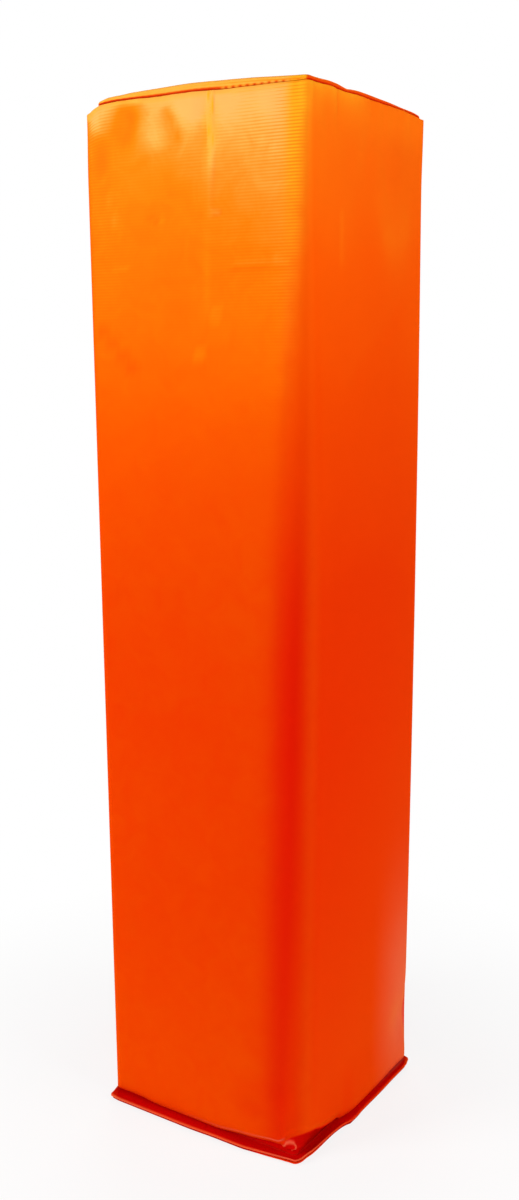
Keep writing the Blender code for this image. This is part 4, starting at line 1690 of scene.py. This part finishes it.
@dataclass
class Block:
    """A solid filling: a rounded square column with a level top and foot."""

    name: str
    node: str
    slot: Slot
    rings: int
    levels: int
    outline: Pairs  # (height, half width) up the side
    foot: Pairs  # (share out from the middle, height)
    top: Pairs
    radius: float = 0.0045
    relief: WallRelief | None = None
    lumps: float = 0.0
    fill: float | None = None
    sink: float = 0.0003  # how far the top's edge keeps below a low top seam
    sink_share: float = 1.05

    def side_at(self, z: np.ndarray) -> np.ndarray:
        """Half width at a height."""
        return np.interp(z, *zip(*self.outline))

    def plan_at(self, side: np.ndarray, share: np.ndarray, z: np.ndarray) -> np.ndarray:
        """Points of the block's side in plan, pushed out or in with the cover's walls.

        Args:
            side: index of each point's wall.
            share: across the wall, from -1 to 1.
            z: height above the floor.

        Returns:
            The points' X and Y.
        """
        half = self.side_at(z)
        loop = loop_at(side, share)
        outer = rise(half, 0.035, 0.045)
        if self.relief:
            half = half + self.relief.push(loop, z, np.full_like(z, WallSheet().top_seam)) * outer
        if self.lumps:
            wave = np.sin(loop * 700 + z * 400) + np.sin(loop * 310 - z * 900 + 1.3)
            half = half - self.lumps * (1 + 0.5 * wave) * outer
        radius = np.minimum(UPRIGHT.radius(loop, z, UPRIGHT.plain - self.radius), 0.8 * half)
        return clear_of_flaps(on_ring(side, share, half, radius))

    def sunk(self, side: np.ndarray, share: np.ndarray) -> np.ndarray:
        """How far the edge of the top is pressed down, where the cover's top seam lies low.

        Args:
            side: index of each point's wall.
            share: across the wall, from -1 to 1.

        Returns:
            The depths, in metres.
        """
        if self.relief is None:
            return np.zeros(len(share))
        seam = EDGES.seam_rise.at(loop_at(side, share))
        return np.where(seam < 0, self.sink - self.sink_share * seam, 0)

    def add_side(self, bm: bmesh.types.BMesh) -> None:
        """Adds the upright sides.

        Args:
            bm: the mesh that is being made.
        """
        round_it = 8 * self.rings
        low, high = self.outline[0][0], self.outline[-1][0]
        verts, spots = index_grid(bm, round_it, self.levels)
        around = np.mod(spots[:, 0], round_it)
        side = (around // (2 * self.rings)).astype(int)
        share = (around - side * 2 * self.rings) / self.rings - 1
        z = low + (high - low) * spots[:, 1] / self.levels
        plan = self.plan_at(side, share, z)
        z -= self.sunk(side, share) * rise(z, high - 0.040, high)
        place_verts(verts, STANCE.settle(np.column_stack([plan, z])))

    def add_cap(self, bm: bmesh.types.BMesh, cap: Pairs, edge_z: float, sinks: bool) -> None:
        """Adds the foot or the top to the mesh that is being made.

        Args:
            bm: the mesh.
            cap: (share out from the middle, height) pairs.
            edge_z: height at which the sides end.
            sinks: whether the edge is pressed down with the cover's top seam.
        """
        verts, spots = index_grid(bm, 2 * self.rings, 2 * self.rings)
        ring, side, share = ring_of(*(spots - self.rings).T)
        out = ring / self.rings
        z = np.interp(out, *zip(*cap))
        plan = self.plan_at(side, share, np.full_like(z, edge_z)) * out[:, None]
        if sinks:
            z -= self.sunk(side, share) * rise(out, 0.35, 0.85)
        place_verts(verts, STANCE.settle(np.column_stack([plan, z])))

    def build(self, finish: "Finish") -> bpy.types.Object:
        """Makes the block and dresses it.

        Args:
            finish: of the filling.

        Returns:
            The block.
        """
        bm = bmesh.new()
        self.add_side(bm)
        self.add_cap(bm, self.foot, self.outline[0][0], sinks=False)
        self.add_cap(bm, self.top, self.outline[-1][0], sinks=True)
        mesh = welded(bm, self.name)
        mesh.materials.append(finish.material())
        obj = make_object(self.name, mesh)
        soften(obj)
        hand_over(obj, self.node)
        return obj


@dataclass
class BagSheet(SquareSheet):
    """One half of the ballast bag: a boxed sheet whose edge turns in at the bag's seam."""

    rings: int = 60
    node: str = ""
    rests_on: str = ""
    profile: Triples = ()  # (half width, height, corner radius)
    thickness: float = 0.0005
    cut: float = 0.158
    cut_area: float = 0.0215  # with its corners cut out
    sag: float = 0.0003

    def build(self, finish: "Finish") -> bpy.types.Object:
        """Makes the sheet and dresses it.

        Args:
            finish: of the bag's cloth.

        Returns:
            The sheet.
        """
        mesh, ring, loop = self.ring_grid()
        knots = np.array(self.profile)
        run = np.concatenate([[0], np.cumsum(np.hypot(*np.diff(knots[:, :2], axis=0).T))])
        along = ring / self.rings * run[-1]
        half, z, radius = (np.interp(along, run, knot) for knot in knots.T)
        wave = np.sin(loop * 420 + z * 260) * np.sin(loop * 130 - z * 500 + 1)
        slack = rise(half, 0.049, 0.050) * ease(np.abs(z - 0.024) / 0.004 - 0.3)
        half = half - self.sag * (1 + wave) * slack
        radius = np.minimum(radius + UPRIGHT.radius(loop, z) - UPRIGHT.plain, 0.9 * half)
        plan = clear_of_flaps(on_ring(*wall_of(loop), half, radius))
        mesh.materials.append(finish.material())
        obj = self.finish_sheet(mesh, np.column_stack([plan, z]), along, loop, self.thickness)
        hand_over(obj, self.node)
        return obj


@dataclass
class FoamBlock(Block):
    """The foam that fills the cover above the ballast bag."""

    name: str = "foam_block"
    node: str = "foam_core"
    slot: Slot = Slot.FOAM
    rings: int = 24
    levels: int = 110
    outline: Pairs = (
        (0.0485, 0.0495), (0.0500, 0.0508), (0.0520, 0.0510), (0.4500, 0.0510), (0.4516, 0.0500))
    foot: Pairs = ((0, 0.0485), (1, 0.0485))
    top: Pairs = ((0, 0.4552), (0.80, 0.4550), (0.84, 0.4535), (0.86, 0.4516), (1, 0.4516))
    relief: WallRelief | None = WallRelief()
    fill: float | None = 1.0


@dataclass
class SandFill(Block):
    """The sand in the ballast bag."""

    name: str = "ballast_sand_fill"
    node: str = "ballast_sand"
    slot: Slot = Slot.SAND
    rings: int = 22
    levels: int = 60
    outline: Pairs = (
        (0.0019, 0.0455), (0.0045, 0.0468), (0.0120, 0.0490), (0.0150, 0.0497), (0.0200, 0.0497),
        (0.0216, 0.0455), (0.0264, 0.0455), (0.0282, 0.0497), (0.0400, 0.0495), (0.0445, 0.0470),
        (0.0462, 0.0430))
    foot: Pairs = ((0, 0.0019), (1, 0.0019))
    top: Pairs = ((0, 0.0468), (0.6, 0.0467), (1, 0.0462))
    lumps: float = 0.0003


@dataclass
class LowerBagSheet(BagSheet):
    """The lower half of the ballast bag."""

    name: str = "ballast_bag_lower_sheet"
    node: str = "ballast_bag_lower"
    rests_on: str = "base_sheet"
    profile: Triples = (
        (0.0, 0.00125, 0.0), (0.0380, 0.00125, 0.0040), (0.0452, 0.00150, 0.0060),
        (0.0470, 0.00280, 0.0066), (0.0482, 0.0080, 0.0070), (0.0500, 0.0145, 0.0075),
        (0.0505, 0.0180, 0.0080), (0.0505, 0.0228, 0.0080), (0.0502, 0.02345, 0.0076),
        (0.0496, 0.0236, 0.0070), (0.0462, 0.0236, 0.0040))


@dataclass
class UpperBagSheet(BagSheet):
    """The upper half of the ballast bag."""

    name: str = "ballast_bag_upper_sheet"
    node: str = "ballast_bag_upper"
    rests_on: str = "ballast_sand_fill"
    profile: Triples = (
        (0.0, 0.04775, 0.0), (0.0400, 0.04760, 0.0040), (0.0450, 0.0470, 0.0060),
        (0.0490, 0.0445, 0.0070), (0.0503, 0.0400, 0.0080), (0.0505, 0.0360, 0.0080),
        (0.0505, 0.0252, 0.0080), (0.0502, 0.02455, 0.0076), (0.0496, 0.0244, 0.0070),
        (0.0462, 0.0244, 0.0040))


@dataclass(frozen=True)
class RibbedVinyl:
    """Glossy coated fabric whose ribbed scrim shows through the coat."""

    name: str = "orange_vinyl"
    rib: float = 0.00125  # from one rib to the next
    rib_highlight: float = 0.27  # painted highlight: how much paler a rib's crest is
    body: Stops = (  # (share of the height, colour): paler and yellower towards the top as painted light
        (0.05, (0.79, 0.026, 0.0)),
        (0.24, (0.77, 0.014, 0.0)),
        (0.42, (0.76, 0.011, 0.0)),
        (0.55, (0.76, 0.018, 0.0)),
        (0.73, (0.83, 0.050, 0.0)),
        (0.86, (0.90, 0.084, 0.001)),
        (0.97, (0.92, 0.132, 0.003)),
    )
    pale: Stops = (  # (how much light is painted, colour)
        (0.06, (0.90, 0.36, 0.0)),
        (0.18, (0.90, 0.36, 0.004)),
        (0.30, (0.90, 0.36, 0.03)),
        (0.54, (0.90, 0.38, 0.065)),
        (0.90, (0.91, 0.43, 0.11)),
    )
    gold: Colour = (0.91, 0.38, 0.012)
    painted_shade: Stops = (  # (how much shade is painted, colour)
        (0.6, (0.68, 0.002, 0.001)),
        (0.8, (0.60, 0.001, 0.001)),
        (1.0, (0.36, 0.001, 0.0)),
    )
    # colour of the painted sheen
    sheen_paint: Colour = (0.84, 0.30, 0.18)
    gloss: Colour = (1.0, 0.45, 0.02)
    most_gloss: float = 0.25
    refraction: float = 1.28
    grain: float = 700.0
    relief: float = 0.00004

    def material(self) -> bpy.types.Material:
        """The material, made once."""
        return bpy.data.materials.get(self.name) or self.make()

    def ribs(self, m: "Nodes", patchy: bpy.types.Node) -> bpy.types.Node:
        """The wave of the ribs, as strong as each point's value and the patches make it."""
        wave = m.calc("SINE", m.calc("MULTIPLY", m.cut_height(), 2 * math.pi / self.rib))
        strength = m.calc("MULTIPLY", m.value("ribbed"), m.calc("MULTIPLY_ADD", patchy, 1.6, 0.2))
        return m.calc("MULTIPLY", wave, strength)

    def colour(self, m: "Nodes", blotch: bpy.types.Node, patchy: bpy.types.Node,
               rib: bpy.types.Node) -> bpy.types.Node:
        """The colour: the cloth's own, with painted light up its height and in places, painted shade and
        painted sheen.

        Args:
            m: the material's nodes.
            blotch: wide cloudy noise.
            patchy: finer cloudy noise.
            rib: the wave of the ribs.

        Returns:
            The node that gives the colour.
        """
        share = m.calc("DIVIDE", m.place()[2], HEIGHT)
        # The cloth's orange, made paler and yellower towards the top as painted light.
        own = m.ramp(m.calc("ADD", share, m.calc("MULTIPLY_ADD", blotch, 0.10, -0.05)), self.body)
        crumple = m.noise(Scale=85.0, Detail=3.0, Roughness=0.6, Distortion=0.8)
        mottle = m.calc("MULTIPLY", m.calc("MULTIPLY_ADD", blotch, 0.8, 0.6),
                        m.calc("MULTIPLY_ADD", crumple, 0.9, 0.55))
        uneven = m.calc("MULTIPLY", m.value("painted_light"), mottle)
        light_and_ribs = m.calc("MULTIPLY", uneven, m.calc("MULTIPLY_ADD", rib, self.rib_highlight, 1.0))
        pale = m.ramp(m.calc("MULTIPLY", light_and_ribs, 0.6), self.pale)
        lit_colour = m.mix(light_and_ribs, own, m.mix(m.value("golden"), pale, self.gold))
        painted_shade = m.value("painted_shade")
        shaded_colour = m.mix(m.calc("MULTIPLY", painted_shade, 1.25), lit_colour, m.ramp(painted_shade, self.painted_shade))
        painted_sheen = m.calc("MULTIPLY", m.value("painted_sheen"), m.calc("MULTIPLY_ADD", patchy, 1.0, 0.5))
        return m.mix(painted_sheen, shaded_colour, self.sheen_paint)

    def make(self) -> bpy.types.Material:
        """Builds the material's nodes.

        Returns:
            The material.
        """
        material = bpy.data.materials.new(self.name)
        m = Nodes(material)
        blotch = m.noise(Scale=14.0, Detail=3.0, Roughness=0.55)
        patchy = m.noise(Scale=26.0, Detail=2.0, Roughness=0.5)
        rib = self.ribs(m, patchy)
        grain = m.noise(Scale=self.grain, Detail=2.0)
        bump = m.bump(m.calc("MULTIPLY_ADD", grain, 0.25, rib), self.relief)
        cloth = m.fill(m.node("Principled BSDF"), Base_Color=self.colour(m, blotch, patchy, rib),
                       Specular_IOR_Level=0, Normal=bump)
        gloss = m.add("ShaderNodeBsdfGlossy", Color=(*self.gloss, 1), Normal=bump,
                      Roughness=m.calc("MULTIPLY_ADD", blotch, 0.12, 0.36))
        edge_on = m.add("ShaderNodeFresnel", IOR=self.refraction, Normal=bump)
        # No gloss where shade is painted.
        unshaded = m.calc("SUBTRACT", 1.0, m.value("painted_shade"))
        shine = m.calc("MULTIPLY", m.calc("MINIMUM", edge_on, self.most_gloss), unshaded)
        m.show(m.blend(shine, cloth, gloss))
        return material


@dataclass(frozen=True)
class Finish:
    """A plain finish: two tones that follow a pattern, on a rough or smooth surface."""

    name: str
    light: Colour
    dark: Colour
    rough: float
    bump: float
    shine: float = 0.5

    def material(self) -> bpy.types.Material:
        """The material, made once."""
        return bpy.data.materials.get(self.name) or self.make()

    def tone(self, m: "Nodes") -> bpy.types.Node:
        """The node whose value goes from the dark tone to the light one."""
        raise NotImplementedError(self.name)

    def make(self) -> bpy.types.Material:
        """Builds the material's nodes.

        Returns:
            The material.
        """
        material = bpy.data.materials.new(self.name)
        m = Nodes(material)
        tone = self.tone(m)
        m.fill(m.node("Principled BSDF"), Base_Color=m.ramp(tone, ((0.35, self.dark), (0.65, self.light))),
               Normal=m.bump(tone, self.bump), Roughness=self.rough, Specular_IOR_Level=self.shine)
        return material


@dataclass(frozen=True)
class Grainy(Finish):
    """A finish with a fine grain all over, such as foam or sand."""

    grain: float = 700

    def tone(self, m: "Nodes") -> bpy.types.Node:
        """The node whose value shows the grain."""
        return m.noise(Scale=self.grain, Detail=4.0, Roughness=0.6)


@dataclass(frozen=True)
class Weave(Finish):
    """A plain-woven cloth or, with a fine pitch, a twisted thread."""

    pitch: float = 0.0008

    def tone(self, m: "Nodes") -> bpy.types.Node:
        """Adds the weave.

        Args:
            m: the material's nodes.

        Returns:
            The node whose value shows it.
        """
        x, y, z = m.place()
        turns = 2 * math.pi / self.pitch
        level = m.calc("SINE", m.calc("MULTIPLY", m.calc("ADD", x, z), turns))
        cross = m.calc("SINE", m.calc("MULTIPLY", m.calc("SUBTRACT", y, z), turns))
        return m.calc("MULTIPLY_ADD", m.calc("MULTIPLY", level, cross), 0.5, 0.5)


ORANGE_VINYL = RibbedVinyl()
# Coloured like the painted shade in the folds and grooves where the threads lie, darker than the vinyl.
ORANGE_THREAD = Weave("orange_thread", light=(0.60, 0.006, 0.002), dark=(0.46, 0.004, 0.001),
                      rough=0.8, bump=0.00008, shine=0.05, pitch=0.0005)
BAG_CANVAS = Weave("bag_canvas", light=(0.66, 0.65, 0.60), dark=(0.46, 0.45, 0.41),
                   rough=0.85, bump=0.0001)
GREY_FOAM = Grainy("grey_foam", light=(0.38, 0.38, 0.37), dark=(0.26, 0.26, 0.25),
                   rough=0.95, bump=0.0003, grain=700)
DRY_SAND = Grainy("dry_sand", light=(0.62, 0.50, 0.34), dark=(0.36, 0.28, 0.17),
                  rough=0.95, bump=0.0004, grain=1800)


class Nodes:
    """The nodes of a material or of the world, added one by one."""

    def __init__(self, owner: bpy.types.Material | bpy.types.World) -> None:
        """Starts from the nodes that Blender gives the owner."""
        owner.use_nodes = True
        self.tree = owner.node_tree

    def node(self, name: str) -> bpy.types.Node:
        """A node that Blender has given the owner."""
        return self.tree.nodes[name]

    def feed(self, source: Source, into: bpy.types.NodeSocket) -> None:
        """Feeds a socket.

        Args:
            source: a number, a colour, an output, or a node, whose first output is taken.
            into: the socket.
        """
        if isinstance(source, bpy.types.Node):
            source = source.outputs[0]
        if isinstance(source, bpy.types.NodeSocket):
            self.tree.links.new(source, into)
        else:
            into.default_value = source

    def fill(self, node: bpy.types.Node, *sources: Source, **named: Source) -> bpy.types.Node:
        """Feeds a node's inputs.

        Args:
            node: the node.
            sources: for its inputs in order.
            named: for its inputs by name, with an underscore for each space.

        Returns:
            The node.
        """
        for source, into in zip(sources, node.inputs):
            self.feed(source, into)
        for name, source in named.items():
            self.feed(source, node.inputs[name.replace("_", " ")])
        return node

    def add(self, kind: str, *sources: Source, **named: Source) -> bpy.types.Node:
        """Adds a node and feeds its inputs."""
        return self.fill(self.tree.nodes.new(kind), *sources, **named)

    def show(self, surface: bpy.types.Node) -> None:
        """Makes a shader the surface that the material shows."""
        self.fill(self.node("Material Output"), Surface=surface)

    def calc(self, operation: str, *values: Source) -> bpy.types.Node:
        """Adds a sum of numbers and outputs."""
        node = self.tree.nodes.new("ShaderNodeMath")
        node.operation = operation
        return self.fill(node, *values)

    def value(self, name: str) -> bpy.types.NodeSocket:
        """The value that a mesh stores at each point under a name."""
        node = self.add("ShaderNodeAttribute")
        node.attribute_name = name
        return node.outputs["Fac"]

    def object_place(self) -> bpy.types.NodeSocket:
        """The place on the object, in metres."""
        return self.add("ShaderNodeTexCoord").outputs["Object"]

    def place(self) -> tuple[bpy.types.NodeSocket, ...]:
        """The place on the object, as X, Y and Z."""
        return tuple(self.add("ShaderNodeSeparateXYZ", self.object_place()).outputs)

    def cut_height(self) -> bpy.types.NodeSocket:
        """The distance up the sheet's flat cut."""
        cut = self.add("ShaderNodeUVMap")
        cut.uv_map = "cut"
        return self.add("ShaderNodeSeparateXYZ", cut).outputs["Y"]

    def noise(self, **values: float) -> bpy.types.Node:
        """Adds cloudy noise on the object, with values for its inputs by name."""
        return self.add("ShaderNodeTexNoise", Vector=self.object_place(), **values)

    def bump(self, height: bpy.types.Node, distance: float) -> bpy.types.Node:
        """The normal of fine relief, from its pattern and its depth."""
        return self.add("ShaderNodeBump", Strength=0.5, Distance=distance, Height=height)

    def ramp(self, source: Source, stops: Stops) -> bpy.types.Node:
        """Adds a colour ramp.

        Args:
            source: where along the ramp.
            stops: (place, colour) pairs.

        Returns:
            The node that gives the colour.
        """
        node = self.add("ShaderNodeValToRGB", source)
        elements = node.color_ramp.elements
        while len(elements) < len(stops):
            elements.new(0.5)
        for element, (place, colour) in zip(elements, stops):
            element.position = place
            element.color = (*colour, 1)
        return node

    def mix(self, share: Source, a: bpy.types.Node, b: bpy.types.Node | Colour) -> bpy.types.Node:
        """Mixes two colours, by the share of the second."""
        second = b if isinstance(b, bpy.types.Node) else (*b, 1)
        return self.add("ShaderNodeMixRGB", share, a, second)

    def blend(self, share: Source, a: bpy.types.Node, b: bpy.types.Node) -> bpy.types.Node:
        """Mixes two shaders, by the share of the second."""
        return self.add("ShaderNodeMixShader", share, a, b)

    def span(self, source: Source, start: float, end: float, low: float, high: float) -> bpy.types.Node:
        """Maps a value that runs from a start to an end to one that runs from low to high."""
        return self.add("ShaderNodeMapRange", source, start, end, low, high)

    def seen(self) -> bpy.types.Node:
        """1 where the camera sees a thing, straight or in a gloss, and 0 where it gives light."""
        path = self.add("ShaderNodeLightPath").outputs
        mirrored = self.calc("MAXIMUM", path["Is Glossy Ray"], path["Is Transmission Ray"])
        return self.calc("MAXIMUM", path["Is Camera Ray"], mirrored)


def look_from(azimuth: float, pitch: float) -> Vector:
    """The direction from the object back to a camera, with angles in degrees."""
    a, e = math.radians(azimuth), math.radians(pitch)
    return Vector((math.sin(a) * math.cos(e), -math.cos(a) * math.cos(e), math.sin(e)))


@dataclass(frozen=True)
class Lamp:
    """A square soft lamp, aimed at the middle of the pylon."""

    name: str
    azimuth: float
    pitch: float
    size: float
    power: float
    distance: float = 1.4

    def build(self, aim: Vector) -> None:
        """Adds the lamp.

        Args:
            aim: what it shines at.
        """
        data = bpy.data.lights.new(self.name, "AREA")
        data.size = self.size
        data.energy = self.power
        obj = bpy.data.objects.new(self.name, data)
        obj.location = aim + self.distance * look_from(self.azimuth, self.pitch)
        obj.rotation_euler = (aim - obj.location).to_track_quat("-Z", "Y").to_euler()
        bpy.context.scene.collection.objects.link(obj)


@dataclass
class Studio:
    """The camera, the lamps and the white floor."""

    focal: float = 38.78
    sensor: float = 36
    azimuth: float = 33.55
    pitch: float = 10.29
    eye: tuple[float, float, float] = (0.3236, -0.4915, 0.3475)
    aim: tuple[float, float, float] = (0, 0, 0.25)
    lamps: tuple[Lamp, ...] = (
        Lamp("key", azimuth=-34, pitch=16, size=0.6, power=15.0),
        Lamp("side", azimuth=90, pitch=15, size=0.8, power=12.3),
        Lamp("fill", azimuth=38, pitch=42, size=0.8, power=3.0),
        Lamp("rear", azimuth=-150, pitch=30, size=0.8, power=6.0),
    )
    daylight: float = 0.12  # the soft light all round
    floor_half: float = 6
    floor_tone: float = 0.9
    shadow_reach: tuple[float, float] = (0.09, 0.26)  # where the floor's shadow starts and has faded
    shadow_level: float = 0.82  # how white the floor is under the pylon

    def camera(self) -> None:
        """Places the camera."""
        data = bpy.data.cameras.new("camera")
        data.lens = self.focal
        data.sensor_width = self.sensor
        data.clip_start = 0.01
        obj = bpy.data.objects.new("camera", data)
        obj.location = self.eye
        obj.rotation_euler = (-look_from(self.azimuth, self.pitch)).to_track_quat("-Z", "Y").to_euler()
        bpy.context.scene.collection.objects.link(obj)
        bpy.context.scene.camera = obj

    def floor(self) -> None:
        """Lays the white floor, which keeps the pylon's shadow close to its foot."""
        bm = bmesh.new()
        bmesh.ops.create_grid(bm, x_segments=1, y_segments=1, size=self.floor_half)
        mesh = to_mesh(bm, "floor")
        obj = make_object("floor", mesh)
        material = bpy.data.materials.new("white_floor")
        m = Nodes(material)
        matt = m.fill(m.node("Principled BSDF"), Base_Color=(*[self.floor_tone] * 3, 1),
                      Roughness=0.9, Specular_IOR_Level=0.1)
        away = m.add("ShaderNodeVectorMath", m.object_place())
        away.operation = "LENGTH"
        white = m.span(away.outputs["Value"], *self.shadow_reach, self.shadow_level, 1.0)
        glow = m.add("ShaderNodeEmission", Strength=1.0)
        m.show(m.blend(m.calc("MULTIPLY", white, m.seen()), matt, glow))
        mesh.materials.append(material)

    def world(self) -> None:
        """Sets the soft light all round and the white background."""
        world = bpy.data.worlds.new("studio")
        bpy.context.scene.world = world
        m = Nodes(world)
        m.fill(m.node("Background"), Color=(1, 1, 1, 1),
               Strength=m.span(m.seen(), 0.0, 1.0, self.daylight, 1.0))

    def build(self) -> None:
        """Sets everything up."""
        self.camera()
        self.floor()
        self.world()
        for lamp in self.lamps:
            lamp.build(Vector(self.aim))
        bpy.context.scene.view_settings.view_transform = "Standard"


def main() -> None:
    """Builds the pylon's pieces and the studio round them."""
    logging.basicConfig(level=logging.INFO, format="%(name)s %(message)s")
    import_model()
    for sheet in (WallSheet(), TopSheet(), BaseSheet()):
        sheet.build(ORANGE_VINYL)
    for seam in SEAMS:
        seam.build(ORANGE_THREAD)
    FoamBlock().build(GREY_FOAM)
    for half in (LowerBagSheet(), UpperBagSheet()):
        half.build(BAG_CANVAS)
    SandFill().build(DRY_SAND)
    Studio().build()
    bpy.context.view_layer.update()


if __name__ == "__main__":
    main()
